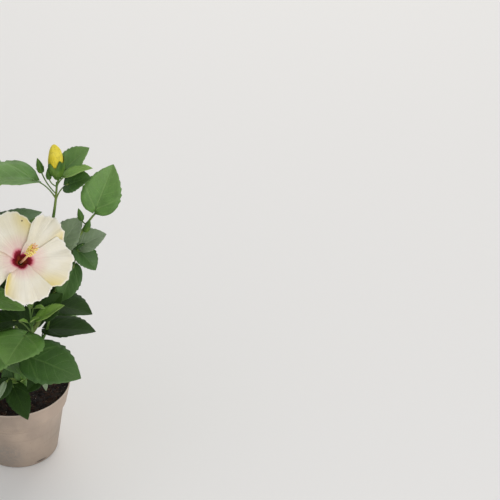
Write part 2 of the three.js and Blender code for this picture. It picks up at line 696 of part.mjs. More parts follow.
// Colours seen on the plant
const LOOKS = {
  pot: { color: 0x9c8e80, roughness: 0.6 },
  soil: { color: 0x2a1a12, roughness: 1 },
  bark: { color: 0x6d6a45, roughness: 0.8 },
  leaf: { color: 0x3f6b2f, roughness: 0.5 },
  petal: { color: 0xf3ead6, roughness: 0.7 },
};

function lookOf(node) {
  if (node === 'bloom') return LOOKS.petal;
  if (node.startsWith('leaves_')) return LOOKS.leaf;
  return LOOKS[node] ?? LOOKS.bark;
}

function namedMesh(node) {
  const parts = placed.filter((item) => item.node === node).map(({ part }) => part);
  const { vertProperties, triVerts } = joined(parts).getMesh();
  const geometry = new THREE.BufferGeometry();
  geometry.setAttribute('position', new THREE.BufferAttribute(vertProperties, 3));
  geometry.setIndex(new THREE.BufferAttribute(triVerts, 1));
  geometry.computeVertexNormals();
  const mesh = new THREE.Mesh(geometry, new THREE.MeshStandardMaterial({ ...lookOf(node), metalness: 0 }));
  mesh.name = node;
  return mesh;
}

const group = new THREE.Group();
for (const node of new Set(placed.map((item) => item.node))) group.add(namedMesh(node));
export default group;
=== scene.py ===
from math import atan2, cos, degrees, exp, hypot, pi, radians, sin
from types import SimpleNamespace

import bmesh
import bpy
from mathutils import Matrix, Vector, noise
from mathutils.bvhtree import BVHTree


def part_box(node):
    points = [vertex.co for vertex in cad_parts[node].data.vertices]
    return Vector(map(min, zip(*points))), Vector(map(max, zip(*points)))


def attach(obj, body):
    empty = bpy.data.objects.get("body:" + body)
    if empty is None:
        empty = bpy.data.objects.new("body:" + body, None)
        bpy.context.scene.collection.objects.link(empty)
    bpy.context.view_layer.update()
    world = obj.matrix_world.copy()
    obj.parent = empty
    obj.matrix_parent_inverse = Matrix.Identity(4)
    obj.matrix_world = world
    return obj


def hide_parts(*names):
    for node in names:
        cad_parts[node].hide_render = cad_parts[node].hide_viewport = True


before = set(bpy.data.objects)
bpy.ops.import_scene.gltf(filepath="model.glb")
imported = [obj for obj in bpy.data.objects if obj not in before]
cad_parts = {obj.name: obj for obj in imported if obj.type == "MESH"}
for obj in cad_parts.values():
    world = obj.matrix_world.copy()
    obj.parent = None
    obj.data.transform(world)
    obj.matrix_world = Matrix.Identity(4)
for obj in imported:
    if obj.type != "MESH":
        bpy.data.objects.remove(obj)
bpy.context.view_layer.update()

# Pot: an injection-moulded nursery pot of thin taupe plastic, tapered so that pots stack.
# A wide collar stands over a narrower wall, and the flat floor has five drain holes.
MM = 0.001
POT_WALL = 1.6
POT_FLOOR = 2
POT_TURNS = 120
POT_BASE_RADIUS = 44.5
POT_SHOULDER = (55, 63)
POT_COLLAR_FOOT = (59.3, 71)
RIM_ROUND = 0.8
FOOT_ROUND = 2.5
STEP_LIFT = 0.5
EDGE_ROUND = 1.2
EDGE_ANGLE = 14
DRAIN_RADIUS = 4
DRAIN_RING = 31
DRAIN_COUNT = 5
FLOOR_RINGS = (7, 4, 1.5, -1.5, -4, -7)
pot_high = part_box("pot")[1]
POT_RIM_RADIUS = pot_high.x / MM
POT_HEIGHT = pot_high.z / MM


def arc(middle, radius, start, end, steps):
    """Points of an arc in a profile, as (radius, height), between two turns in degrees."""
    turns = [radians(start + (end - start) * i / steps) for i in range(steps + 1)]
    return [(middle[0] + radius * cos(turn), middle[1] + radius * sin(turn)) for turn in turns]


def spun(profile, steps):
    """A closed shape spun round the upright axis from a profile of (radius, height)."""
    shape = bmesh.new()
    line = [shape.verts.new((radius, 0, height)) for radius, height in profile]
    edges = [shape.edges.new(pair) for pair in zip(line, line[1:])]
    bmesh.ops.spin(shape, geom=line + edges, axis=(0, 0, 1), steps=steps, angle=2 * pi, use_merge=True)
    bmesh.ops.remove_doubles(shape, verts=shape.verts, dist=1e-3)
    bmesh.ops.recalc_face_normals(shape, faces=shape.faces)
    return shape


def open_drains(shape):
    """Cuts round holes through the floor: rings of both its faces are pushed out and bridged."""
    for i in range(DRAIN_COUNT):
        turn = 2 * pi * i / DRAIN_COUNT
        middle = Vector((DRAIN_RING * cos(turn), DRAIN_RING * sin(turn)))
        low = [v for v in shape.verts if v.co.z < POT_FLOOR + 0.1]
        near = [v for v in low if (v.co.xy - middle).length < DRAIN_RADIUS]
        faces = {face for v in near for face in v.link_faces}
        bmesh.ops.delete(shape, geom=list(faces), context="FACES")
        edges = [e for e in shape.edges if e.is_boundary]
        for v in {v for e in edges for v in e.verts}:
            v.co.xy = middle + DRAIN_RADIUS * (v.co.xy - middle).normalized()
        bmesh.ops.bridge_loops(shape, edges=edges)


def put(name, data):
    """An object at the origin of the scene."""
    made = bpy.data.objects.new(name, data)
    bpy.context.scene.collection.objects.link(made)
    return made


def as_piece(name, shape, *finishes):
    """A finished piece in metres from a shape in millimetres, with its finishes."""
    bmesh.ops.scale(shape, vec=(MM, MM, MM), verts=shape.verts)
    mesh = bpy.data.meshes.new(name)
    shape.to_mesh(mesh)
    shape.free()
    mesh.shade_smooth()
    for finish in finishes:
        mesh.materials.append(finish.material)
    return put(name, mesh)


class Wire:
    """A socket of a finish. Its sums, steps and textures add nodes."""

    def __init__(self, finish, socket):
        self.finish = finish
        self.socket = socket

    def calc(self, operation, *values):
        return self.finish.node("Math", {"operation": operation}, dict(enumerate((self, *values))))

    def __add__(self, other):
        return self.calc("ADD", other)

    def __mul__(self, other):
        return self.calc("MULTIPLY", other)

    def __sub__(self, other):
        return self.calc("SUBTRACT", other)

    def __rsub__(self, other):
        return self.finish.node("Math", {"operation": "SUBTRACT"}, {0: other, 1: self})

    def __abs__(self):
        return self.calc("ABSOLUTE")

    __radd__ = __add__
    __rmul__ = __mul__

    def step(self, low, high):
        """0 below low and 1 above high, smooth between them."""
        inputs = {"Value": self, "From Min": low, "From Max": high}
        return self.finish.node("MapRange", {"interpolation_type": "SMOOTHSTEP"}, inputs)

    def noise(self, scale, detail=3, rough=0.5):
        inputs = {"Vector": self, "Scale": scale, "Detail": detail, "Roughness": rough}
        return self.finish.node("TexNoise", {}, inputs)

    def vector(self, operation, other, output):
        return self.finish.node("VectorMath", {"operation": operation}, {0: self, 1: other}, output)

    def stretch(self, scale):
        return self.vector("MULTIPLY", scale, "Vector")

    def distance(self, point):
        return self.vector("DISTANCE", point, "Value")

    def part(self, axis):
        return self.finish.node("SeparateXYZ", {}, {0: self}, axis)

    def bump(self, strength, distance):
        inputs = {"Height": self, "Strength": strength, "Distance": distance * MM}
        return self.finish.node("Bump", {}, inputs)


class Finish:
    """A material made node by node on its Principled shader."""

    def __init__(self, name, gloss, **constants):
        self.material = bpy.data.materials.new(name)
        self.material.use_nodes = True
        self.feed(Specular_IOR_Level=gloss, **constants)

    def node(self, kind, settings, inputs, output=0):
        """Adds a node: its settings first, then the values or links of its sockets."""
        made = self.material.node_tree.nodes.new("ShaderNode" + kind)
        for name, value in settings.items():
            setattr(made, name, value)
        for socket, value in inputs.items():
            self.join(value, made.inputs[socket])
        return Wire(self, made.outputs[output])

    def join(self, value, socket):
        if isinstance(value, Wire):
            self.material.node_tree.links.new(value.socket, socket)
        else:
            socket.default_value = value

    def feed(self, **values):
        """Sets or joins sockets of the shader."""
        shader = self.material.node_tree.nodes["Principled BSDF"]
        for name, value in values.items():
            self.join(value, shader.inputs[name.replace("_", " ")])

    def place(self):
        return self.node("TexCoord", {}, {}, "Object")

    def surface(self):
        return self.node("UVMap", {"uv_map": "UVMap"}, {})

    def attribute(self, name):
        return self.node("Attribute", {"attribute_name": name}, {}, "Fac")

    def mix(self, share, first, second):
        """A colour between two colours, which is also the base colour so far."""
        self.colour = self.node("Mix", {"data_type": "RGBA"}, {0: share, 6: first, 7: second}, 2)
        self.feed(Base_Color=self.colour)
        return self.colour

    def mottle(self, share, first, second):
        self.mix(share, paint(*first), paint(*second))

    def coat(self, share, *colour):
        """Lays a share of a paint over the base colour so far."""
        self.mix(share, self.colour, paint(*colour))


def paint(*levels):
    """A linear colour from the usual 0 to 255 values."""
    shares = [level / 255 for level in levels]
    return (*[s / 12.92 if s < 0.04 else ((s + 0.055) / 1.055) ** 2.4 for s in shares], 1)


def scaled(colour, share):
    return (*[part * share for part in colour[:3]], 1)


GREY_PATCH = (-0.009, -0.047, 0.022)
SCRAPE = (0.0126, -0.01566, 0.011)


def pot_finish():
    """Dull recycled plastic: cloudy taupe, fine specks, level dirt lines, a scrape, a paler rim top, a
    darker foot band, painted light on the right side and painted shade low on the rest.
    """
    finish = Finish("pot_plastic", 0.35)
    place = finish.place()
    height = place.part("Z")
    cloud = place.noise(28, 4)
    bands = place.stretch((6, 6, 260)).noise(1, 2)
    specks = place.noise(900, 2)
    smear = place.stretch((30, 30, 7)).noise(1, 5, 0.65)
    # Painted light: the right side of the pot above its foot is lighter, where the light falls on it.
    painted_light_right = place.part("X").step(-0.01, 0.05) * height.step(0.02, 0.08)
    low = 1 - height.step(0.0, 0.06)
    grey = 1 - place.distance(GREY_PATCH).step(0.008, 0.026)
    scrape = 1 - place.stretch((0.45, 0.45, 2.4)).distance(SCRAPE).step(0.0015, 0.0045)
    lip = height.step(POT_HEIGHT * MM - 0.0014, POT_HEIGHT * MM - 0.0006)
    foot = 1 - height.step(0.0004, 0.0022)
    finish.mottle(cloud.step(0.35, 0.68), (156, 140, 125), (178, 159, 141))
    finish.coat(bands.step(0.58, 0.72) * 0.35, 128, 116, 102)
    finish.coat(specks.step(0.66, 0.72) * 0.5, 104, 92, 80)
    finish.coat(smear.step(0.54, 0.8) * 0.45, 186, 172, 154)
    # Painted shade: the lower part is darker except on the right; painted light: the right side is lighter.
    finish.coat(low * (1 - painted_light_right) * 0.35, 134, 122, 110)
    finish.coat(painted_light_right * 0.45, 200, 178, 160)
    finish.coat(grey * place.noise(320, 4, 0.7).step(0.4, 0.6) * 0.5, 130, 128, 122)
    finish.coat(scrape * specks.step(0.25, 0.45), 70, 62, 54)
    finish.coat(lip * 0.5, 214, 196, 178)
    finish.coat(foot * 0.5, 104, 94, 84)
    grain = place.noise(1500, 2) * 0.4 + bands
    finish.feed(Roughness=cloud.step(0.2, 0.8) * 0.2 + 0.5, Normal=grain.bump(0.25, 0.3))
    return finish


shoulder, collar = POT_SHOULDER, POT_COLLAR_FOOT
rings = [DRAIN_RING + reach for reach in FLOOR_RINGS]
pot_shape = spun(
    [(0, 0)]
    + [(ring, 0) for ring in reversed(rings)]
    + arc((POT_BASE_RADIUS - FOOT_ROUND, FOOT_ROUND), FOOT_ROUND, -90, 0, 4)
    + [shoulder, collar, (POT_RIM_RADIUS, POT_HEIGHT - RIM_ROUND)]
    + arc((POT_RIM_RADIUS - RIM_ROUND, POT_HEIGHT - RIM_ROUND), RIM_ROUND, 30, 150, 4)
    + [
        (POT_RIM_RADIUS - POT_WALL, POT_HEIGHT - RIM_ROUND),
        (collar[0] - POT_WALL, collar[1] + STEP_LIFT),
        (shoulder[0] - POT_WALL, shoulder[1] + STEP_LIFT),
        (POT_BASE_RADIUS + 0.2 - POT_WALL, POT_FLOOR),
    ]
    + [(ring, POT_FLOOR) for ring in rings]
    + [(0, POT_FLOOR)],
    POT_TURNS,
)
open_drains(pot_shape)
pot = as_piece("pot_shell", pot_shape, pot_finish())
edges_rounded = pot.modifiers.new("Rounded steps", "BEVEL")
edges_rounded.width = EDGE_ROUND * MM
edges_rounded.segments = 3
edges_rounded.limit_method = "ANGLE"
edges_rounded.angle_limit = radians(EDGE_ANGLE)
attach(pot, "root")
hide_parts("pot")

# Soil: moist dark peat filled to a little under the rim. Its top is lumpy, with loose
# crumbs, reddish fibres and a few white grains of perlite lying on it.
SOIL_GAP = 0.3
SOIL_HEIGHT = 90
SOIL_STEP_LIFT = 0.6
SOIL_IN_COLLAR = 0.66
SOIL_BUMP = 1.6
SOIL_FINE_BUMP = 0.7
SOIL_FLAT_RADIUS = 11
SOIL_RINGS = 26
TRUNK_FOOT = (-2, 1)
LOOSE_IN_COLLAR = 0.6
LOOSE_TILT = 0.5

# Loose bits: name, count, seed, smallest and largest (length, width, height), how high they
# lie in their own heights, darker and lighter paint, and roughness.
LOOSE_BITS = [
    ("crumbs", 1500, 5, ((0.5, 0.4, 0.3), (2.2, 1.6, 1.2)), 0.1, (24, 16, 12), (74, 46, 30), 0.8),
    ("fibres", 170, 9, ((2, 0.2, 0.2), (5.5, 0.35, 0.3)), 1.5, (70, 48, 38), (128, 104, 84), 0.85),
    ("perlite", 44, 21, ((0.3, 0.3, 0.3), (0.8, 0.7, 0.6)), 0.4, (190, 180, 164), (226, 218, 202), 0.8),
]


def lerp(low, high, share):
    return low + (high - low) * share


def smoothstep(value, low, high):
    share = min(max((value - low) / (high - low), 0), 1)
    return share * share * (3 - 2 * share)


def seeded(seed):
    """Even random numbers from a seed, the same in every run."""
    state = seed

    def draw(low, high):
        nonlocal state
        state = (state * 1664525 + 1013904223) % 2**32
        return low + (high - low) * state / 2**32

    return draw


def soil_top(x, y):
    """Height of the soil: the solid's lumps, and smaller ones away from the trunk."""
    rough = smoothstep(hypot(x - TRUNK_FOOT[0], y - TRUNK_FOOT[1]), SOIL_FLAT_RADIUS, 2 * SOIL_FLAT_RADIUS)
    lumps = sin(x / 9 + 1) * cos(y / 11) - 0.4 * sin((x + y) / 6)
    fine = noise.noise((x / 4, y / 4, 0)) + 0.6 * noise.noise((x / 1.7, y / 1.7, 5))
    return SOIL_HEIGHT + SOIL_BUMP * rough * lumps + SOIL_FINE_BUMP * fine


def soil_shape():
    gap = POT_WALL + SOIL_GAP
    edge = lerp(POT_COLLAR_FOOT[0], POT_RIM_RADIUS, SOIL_IN_COLLAR) - gap
    shape = spun(
        [
            (0, POT_FLOOR + SOIL_GAP),
            (POT_BASE_RADIUS - gap, POT_FLOOR + SOIL_GAP),
            (POT_SHOULDER[0] - gap, POT_SHOULDER[1] + SOIL_STEP_LIFT),
            (POT_COLLAR_FOOT[0] - gap, POT_COLLAR_FOOT[1] + SOIL_STEP_LIFT),
        ]
        + [(edge * (1 - i / SOIL_RINGS), SOIL_HEIGHT) for i in range(SOIL_RINGS + 1)],
        POT_TURNS,
    )
    for v in shape.verts:
        if v.co.z > SOIL_HEIGHT - 1:
            v.co.z = soil_top(v.co.x, v.co.y)
    return shape


def soil_finish(name, dark, light, rough):
    """Moist peat: nearly black, browner where crumbs have dried."""
    finish = Finish(name, 0.3)
    place = finish.place()
    patches = place.noise(160, 5, 0.65)
    finish.mottle(patches.step(0.42, 0.7), dark, light)
    grain = place.noise(1100, 4, 0.7)
    finish.feed(Roughness=patches.step(0.3, 0.8) * 0.2 + rough, Normal=grain.bump(0.8, 0.8))
    return finish


def scattered(count, seed, sizes, sunk):
    """Loose bits on the soil: lumps of (length, width, height) between two sizes."""
    draw = seeded(seed)
    shape = bmesh.new()
    reach = lerp(POT_COLLAR_FOOT[0], POT_RIM_RADIUS, LOOSE_IN_COLLAR) - POT_WALL
    while count > 0:
        x = draw(-reach, reach)
        y = draw(-reach, reach)
        size = [draw(low, high) for low, high in zip(*sizes)]
        turn = Matrix.Rotation(draw(0, 2 * pi), 4, "Z")
        turn = turn @ Matrix.Rotation(draw(-LOOSE_TILT, LOOSE_TILT), 4, "X")
        off_trunk = hypot(x - TRUNK_FOOT[0], y - TRUNK_FOOT[1]) > SOIL_FLAT_RADIUS
        if off_trunk and hypot(x, y) < reach - size[0]:
            spot = Matrix.Translation((x, y, soil_top(x, y) + sunk * size[2]))
            spot = spot @ turn @ Matrix.Diagonal((*size, 1))
            bmesh.ops.create_icosphere(shape, subdivisions=1, radius=1, matrix=spot)
            count -= 1
    return shape


soil = as_piece("soil_fill", soil_shape(), soil_finish("peat", (28, 19, 14), (58, 38, 26), 0.72))
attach(soil, "root")
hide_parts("soil")

for name, count, seed, sizes, sunk, *look in LOOSE_BITS:
    bits = as_piece("soil_" + name, scattered(count, seed, sizes, sunk), soil_finish(name, *look))
    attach(bits, "root")

# Trunk and boughs: young green-brown wood. The trunk leans a little and flares at the
# soil; boughs leave it one over another, each with a small collar and old leaf scars.
TRUNK_TIP = (3, -1, 152)
TRUNK_RADIUS = 5
TRUNK_TIP_RADIUS = 3.6
TRUNK_FLARE_RADIUS = 8.5
FLARE_SHARE = 0.16
KNOT = SimpleNamespace(count=5, height=0.35)
CLEAR = 0.3
BOUGH_RADIUS = (3.1, 2)
BOUGH_ARCH = SimpleNamespace(out=0.55, up=0.35)
BOUGH_COLLAR = SimpleNamespace(height=0.8, fall=14)
LEAF_SCAR = SimpleNamespace(count=6, first=0.3, height=0.22)
SKIN_GRAIN = 2.2
LIMB_SIDE = Vector((0.31, -0.89, -0.34)).normalized()

# The crown's plan: a bough's height on the trunk and its tip, then the top of the shoot
# that grows on from it, as (turn, reach, height), and the seed of the shoot's growth.
# A leaf told apart is (share of the shoot, stalk's turn, rise and length, blade's turn,
# pitch and roll, length and width, fold and droop, tone). A bud is (share, stalk, turn and
# pitch, length and radius). Shown leaves are in the solids too; extra ones fill gaps.
def limb(name, height, tip, top, seed, **growing):
    rest = dict(grown=0, twigs=0, fallen=(), shown=(), extra=(), buds=(), spurs=(), tuft=None, bare=False)
    place = dict(name=name, height=height, tip=tip, top=top, seed=seed)
    return SimpleNamespace(**{**rest, **place, **growing})


LIMBS = [
    limb(
        "top", 152, (10, 57, 308), (6, 66, 366), 221,
        shown=[
            (0.62, (-177, 49, 31), (-156, 20, -4), (68, 48), (0.45, 0.45), "mid"),
            (0.9, (2, 55, 14), (-7, 30, 0), (36, 22), (0.3, 0.25), "young"),
            (0.35, (-22, 66, 39), (-20, 32, 29), (34, 30), (0.2, 0.3), "deep"),
            (0.8, (65, 47, 22), (14, 46, 22), (40, 32), (0.2, 0.3), "mid"),
        ],
        buds=[
            (0.94, (-60, 60, 9.5), (130, 86), (44, 8.2)),
            (0.72, (172, 60, 29), (150, 76), (19, 4.6)),
            (0.9, (-170, 50, 12), (100, 84), (15, 3.6)),
        ],
    ),
    limb(
        "top_left", 147, (168, 30, 288), (178, 34, 350), 17, grown=8, twigs=1, fallen=(5,),
        buds=[
            (0.96, (-60, 60, 14), (-80, 78), (24, 5.5)),
            (0.85, (150, 45, 18), (170, 70), (16, 4)),
        ],
    ),
    limb(
        "right", 133, (2, 79, 281), (0, 107, 331), 23,
        shown=[
            (0.97, (-77, 69, 6), (27, 65, 57), (56, 43), (0.3, 0.2), "mid"),
            (0.25, (-69, -35, 9), (7, 30, 29), (33, 28), (0.3, 0.3), "pale"),
            (0.05, (-70, 20, 12), (-31, -26, 14), (32, 27), (0.35, 0.6), "deep"),
            (0.06, (-86, -30, 22), (-126, -53, -32), (47, 28), (0.3, 0.5), "deep"),
            (0.1, (-151, 1, 22), (31, 49, 18), (46, 36), (0.15, 0.3), "pale"),
        ],
        buds=[
            (0.66, (-140, 50, 9), (-170, 80), (17, 4)),
            (0.5, (-60, 10, 7), (-20, 70), (19, 4.4)),
        ],
    ),
    limb(
        "left", 131, (190, 66, 256), (186, 94, 322), 31, grown=12, twigs=1,
        buds=[(0.96, (170, 60, 12), (180, 74), (26, 5.6))],
    ),
    limb(
        "front", 119, (-55, 25, 226), (-30, 16, 302), 366, grown=4,
        shown=[(0.95, (137, 23, 30), (38, -1, -4), (60, 39), (0.1, 0.2), "deep")],
        extra=[
            (0.02, (-32, -30, 12), (-90, -72, 0), (33, 24), (0.2, 0.2), "dark"),
            (0.3, (200, 0, 6), (200, -10, -50), (28, 22), (0.2, 0.2), "dark"),
        ],
    ),
    limb(
        "near", 104, (-59, 52, 162), (-54, 53, 243), 53, spurs=(0.66, 0.8, 0.9),
        shown=[
            (0.74, (30, 14, 12), (20, 48, 35), (36, 28), (0.2, 0.3), "dark"),
            (0.55, (152, 34, 24), (181, -2, -4), (38, 36), (0.2, 0.4), "dark"),
            (0.68, (-26, 59, 14), (5, 34, 5), (36, 20), (0.25, 0.2), "young"),
            (0.42, (-128, 63, 19), (-110, 1, -4), (50, 58), (0.1, 0.35), "mid"),
            (0.12, (-161, 23, 6), (-26, -2, 22), (70, 55), (0.1, 0.3), "deep"),
            (0.3, (-174, 23, 28), (-142, -31, -25), (44, 40), (0.2, 0.4), "mid"),
        ],
    ),
    limb(
        "front_left", 127, (228, 54, 214), (224, 80, 282), 97, grown=7, twigs=1, fallen=(5,),
        shown=[(0.45, (-10, 24, 36), (-8, -14, 14), (46, 28), (0.2, 0.3), "mid")],
        buds=[(0.95, (200, 55, 10), (200, 72), (17, 4.2))],
    ),
    limb("back", 141, (100, 56, 262), (98, 72, 338), 61, grown=9, twigs=1, fallen=(2, 3, 4, 5)),
    limb("back_right", 124, (62, 58, 208), (64, 88, 268), 552, grown=8, twigs=1, fallen=(1, 7), bare=True),
    limb(
        "back_left", 122, (140, 60, 206), (138, 88, 272), 83, grown=9, twigs=1,
        buds=[(0.96, (120, 50, 11), (130, 74), (22, 5))],
    ),
    limb(
        "low_right", 110, (-12, 36, 158), (-8, 50, 204), 103,
        shown=[
            (0.8, (-87, 66, 30), (-14, 6, 4), (53, 42), (0.25, 0.4), "dark"),
            (0.1, (38, 71, 15), (-10, 10, 2), (60, 40), (0.2, 0.25), "dark"),
            (0.25, (62, 24, 24), (54, -18, 6), (54, 40), (0.2, 0.5), "mid"),
            (0.97, (70, 40, 18), (40, 20, -8), (36, 26), (0.25, 0.5), "mid"),
        ],
        extra=[
            (0.6, (125, 45, 30), (-95, -72, 0), (34, 22), (0.2, 0.2), "dark"),
            (0.97, (100, 60, 14), (90, 72, 0), (28, 18), (0.2, 0.2), "dark"),
        ],
    ),
    limb("low_left", 112, (178, 42, 160), (182, 68, 209), 109, grown=7),
    limb("low_back", 115, (96, 40, 156), (92, 66, 212), 127, grown=6),
    limb("low_front_left", 106, (216, 36, 146), (214, 60, 196), 131, grown=7),
    limb(
        "foot", 101, (-70, 16, 104), (-72, 34, 117), 113, tuft=0.8, spurs=(0.2, 0.5),
        shown=[
            (0.95, (-151, 25, 10), (-63, -19, 13), (48, 27), (0.2, 0.35), "dark"),
            (0.6, (3, 25, 26), (-130, -18, -23), (23, 18), (0.2, 0.3), "dark"),
            (0.8, (-128, 49, 25), (-129, -39, -28), (29, 19), (0.2, 0.3), "dark"),
        ],
        extra=[
            (1, (4, 20, 28.8), (-45, -70, 0), (19, 8), (0.3, 0.2), "pale"),
            (1, (-130, 38, 26), (-120, -40, -30), (24, 7), (0.3, 0.3), "pale"),
            (0.1, (-60, 80, 28), (-68, -43, 12), (29, 14), (0.3, 0.3), "mid"),
            (0.05, (-150, 72, 30), (-100, -50, -20), (26, 14), (0.3, 0.3), "deep"),
        ],
    ),
]


Z = Vector((0, 0, 1))


def way(turn, rise):
    """Direction from a turn about the upright (0 is +X, 90 is +Y) and a rise."""
    level = cos(radians(rise))
    return Vector((level * cos(radians(turn)), level * sin(radians(turn)), sin(radians(rise))))


def polar(turn, reach, height):
    return way(turn, 0) * reach + Z * height


class Bend:
    """A smooth curve from one point to another, drawn towards a corner."""

    def __init__(self, start, corner, end):
        self.start, self.corner, self.end = Vector(start), Vector(corner), Vector(end)

    def point(self, t):
        return self.start * (1 - t) ** 2 + self.corner * 2 * t * (1 - t) + self.end * t**2

    def ahead(self, t):
        return ((self.corner - self.start) * (1 - t) + (self.end - self.corner) * t).normalized()


def add_limb(piece, curve, radius_at, sides, steps, relief=0.0):
    """Adds a closed round limb along a curve; relief roughens its skin."""
    shape = bmesh.new()
    bmesh.ops.create_cone(shape, cap_ends=True, segments=sides, radius1=1, radius2=1, depth=1)
    long_edges = [e for e in shape.edges if abs(e.verts[0].co.z - e.verts[1].co.z) > 0.5]
    bmesh.ops.subdivide_edges(shape, edges=long_edges, cuts=steps - 1, use_grid_fill=True)
    for v in shape.verts:
        along = v.co.z + 0.5
        ahead = curve.ahead(along)
        side = ahead.cross(LIMB_SIDE).normalized()
        front = side.cross(ahead)
        point = curve.point(along)
        skin = point + (side * v.co.x + front * v.co.y) * radius_at(along)
        grown = 1 + relief * noise.fractal(skin / SKIN_GRAIN, 0.8, 2.1, 3)
        v.co = point + (skin - point) * grown
    add_shape(piece, shape)


def move_into(piece, shape):
    """Moves a shape into a piece that is made of several."""
    held = bpy.data.meshes.new("held")
    shape.to_mesh(held)
    shape.free()
    piece.from_mesh(held)
    bpy.data.meshes.remove(held)


def add_shape(piece, shape):
    bmesh.ops.recalc_face_normals(shape, faces=shape.faces)
    move_into(piece, shape)


trunk_corner = (*TRUNK_FOOT, lerp(SOIL_HEIGHT, TRUNK_TIP[2], 0.5))
trunk_curve = Bend((*TRUNK_FOOT, SOIL_HEIGHT + CLEAR), trunk_corner, TRUNK_TIP)


def trunk_radius(along):
    flare = (TRUNK_FLARE_RADIUS - TRUNK_RADIUS) * max(0, 1 - along / FLARE_SHARE) ** 2
    knots = KNOT.height * max(0, cos(2 * pi * KNOT.count * along)) ** 8
    return lerp(TRUNK_RADIUS, TRUNK_TIP_RADIUS, along) + flare + knots


def trunk_share(height):
    share = 0
    while share < 1 and trunk_curve.point(share).z < height:
        share += 0.005
    return min(share, 1)


def limb_curves(plan):
    """A bough's curve out of the trunk, and the curve of the shoot on its tip."""
    start = trunk_curve.point(trunk_share(plan.height))
    tip = polar(*plan.tip)
    corner = start.lerp(tip, BOUGH_ARCH.out)
    corner.z = lerp(start.z, tip.z, BOUGH_ARCH.up)
    ahead = (tip - corner).normalized()
    foot = tip + ahead * CLEAR
    top = polar(*plan.top)
    return Bend(start, corner, tip), Bend(foot, foot + ahead * 0.5 * (top - foot).length, top)


def bough_radius(along):
    """A taper with a collar at the trunk and a slight ring at each old leaf scar."""
    collar = BOUGH_COLLAR.height * exp(-BOUGH_COLLAR.fall * along)
    rings = LEAF_SCAR.height * max(0, cos(2 * pi * (LEAF_SCAR.count * along + LEAF_SCAR.first))) ** 10
    return lerp(*BOUGH_RADIUS, along) + collar + rings


def bark_finish():
    """Smooth young bark: green where it is newest, browner at the foot, pale pores."""
    finish = Finish("bark", 0.35)
    place = finish.place()
    green = place.part("Z").step(0.092, 0.125)
    blotch = place.noise(120, 4)
    old = finish.mix(blotch, paint(96, 82, 58), paint(134, 118, 84))
    young = finish.mix(blotch, paint(96, 124, 52), paint(128, 152, 76))
    finish.mix(green * 0.8 + blotch * 0.2, old, young)
    pores = place.stretch((1, 1, 0.45)).noise(900, 2)
    finish.coat(pores.step(0.64, 0.7) * 0.7, 176, 164, 124)
    cracks = place.stretch((1, 1, 0.16)).noise(700, 5, 0.6)
    finish.feed(Roughness=blotch * 0.2 + 0.55, Normal=(cracks + pores).bump(0.55, 0.7))
    return finish


bark_shape = bmesh.new()
add_limb(bark_shape, trunk_curve, trunk_radius, sides=28, steps=44, relief=0.05)
crown = []
for plan in LIMBS:
    bough, shoot = limb_curves(plan)
    add_limb(bark_shape, bough, bough_radius, sides=16, steps=40, relief=0.045)
    crown.append(SimpleNamespace(plan=plan, shoot=shoot, node="leaves_" + plan.name))
bark = as_piece("bark", bark_shape, bark_finish())
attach(bark, "root")
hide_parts("trunk", *["bough_" + plan.name for plan in LIMBS])

# Shoots and stalks: soft green stems. A shoot grows on from each bough's tip and bears
# side twigs; every leaf, bud and the bloom hangs on a stalk of its own.
SHOOT_RADIUS = (1.9, 1.1)
SHOOT_IN_BOUGH = 3
TWIG_RADIUS = (1.3, 0.9)
STALK_RADIUS = (0.85, 0.6)
STALK_SWELL = SimpleNamespace(foot=0.35, end=0.2, fall=9)
STALK_IN_BLADE = 4.6
SPIRAL = 137.5
OUTWARD_PULL = SimpleNamespace(leaf=0.55, twig=0.7)
TWIG = SimpleNamespace(foot=(0.2, 0.5), swing=40, rise=(30, 50), length=(34, 46), lift=0.25)
LEAF_BY_AGE = SimpleNamespace(at=(0.96, 0.08), rise=(50, 12), nod=(28, 52), stalk=(12, 26), length=(40, 60))
LEAF_ON_TWIG = SimpleNamespace(age=(0.1, 0.8), at=(0.95, 0.35))
LEAF_SCATTER = SimpleNamespace(turn=12, rise=8, stalk=3, pitch=10, roll=20, length=(-4, 5))
LEAF_BLADE = SimpleNamespace(width=(0.66, 0.8), fold=(0.1, 0.34), droop=(0.3, 0.75), wave=(0.01, 0.04))
TRIES = [
    (0, 0), (18, 8), (-18, -8), (36, 0), (-36, 12), (54, -12), (-54, 16),
    (75, 0), (-75, 0), (95, 14), (-95, 10), (115, -6), (-115, 4),
]
SOLID_ROWS = [(row / 4) ** 1.25 for row in range(5)]
BLADE_ON_SOLID = 0.75
TWIG_ON_SOLID = 1.7
TWIG_SPOTS = (0.15, 0.4, 0.65, 0.9)


def outward(turn, point, pull):
    """Turn of a direction once it is drawn away from the plant's middle."""
    side = way(turn, 0) + Vector((point.x, point.y, 0)).normalized() * pull
    return degrees(atan2(side.y, side.x))


def grown_twig(shoot, share, turn, draw):
    root = shoot.point(lerp(*TWIG.foot, share))
    swung = outward(turn + draw(-TWIG.swing, TWIG.swing), root, OUTWARD_PULL.twig)
    ahead = way(swung, draw(*TWIG.rise))
    length = draw(*TWIG.length)
    corner = root + ahead * 0.5 * length
    return Bend(root, corner, corner + ahead * 0.35 * length + Z * TWIG.lift * length)


def leaf_of(curve, at, stalk, blade, size, bent, tone="mid", **more):
    """A leaf on a curve, from the values that the crown's plan lists."""
    (turn, rise, stalk), (aim, pitch, roll) = stalk, blade
    (length, width), (fold, droop) = size, bent
    values = dict(
        curve=curve, at=at, turn=turn, rise=rise, stalk=stalk, aim=aim, pitch=pitch, roll=roll,
        length=length, width=width, fold=fold, droop=droop, tone=tone, wave=0.02, phase=1,
    )
    return SimpleNamespace(**{**values, **more})


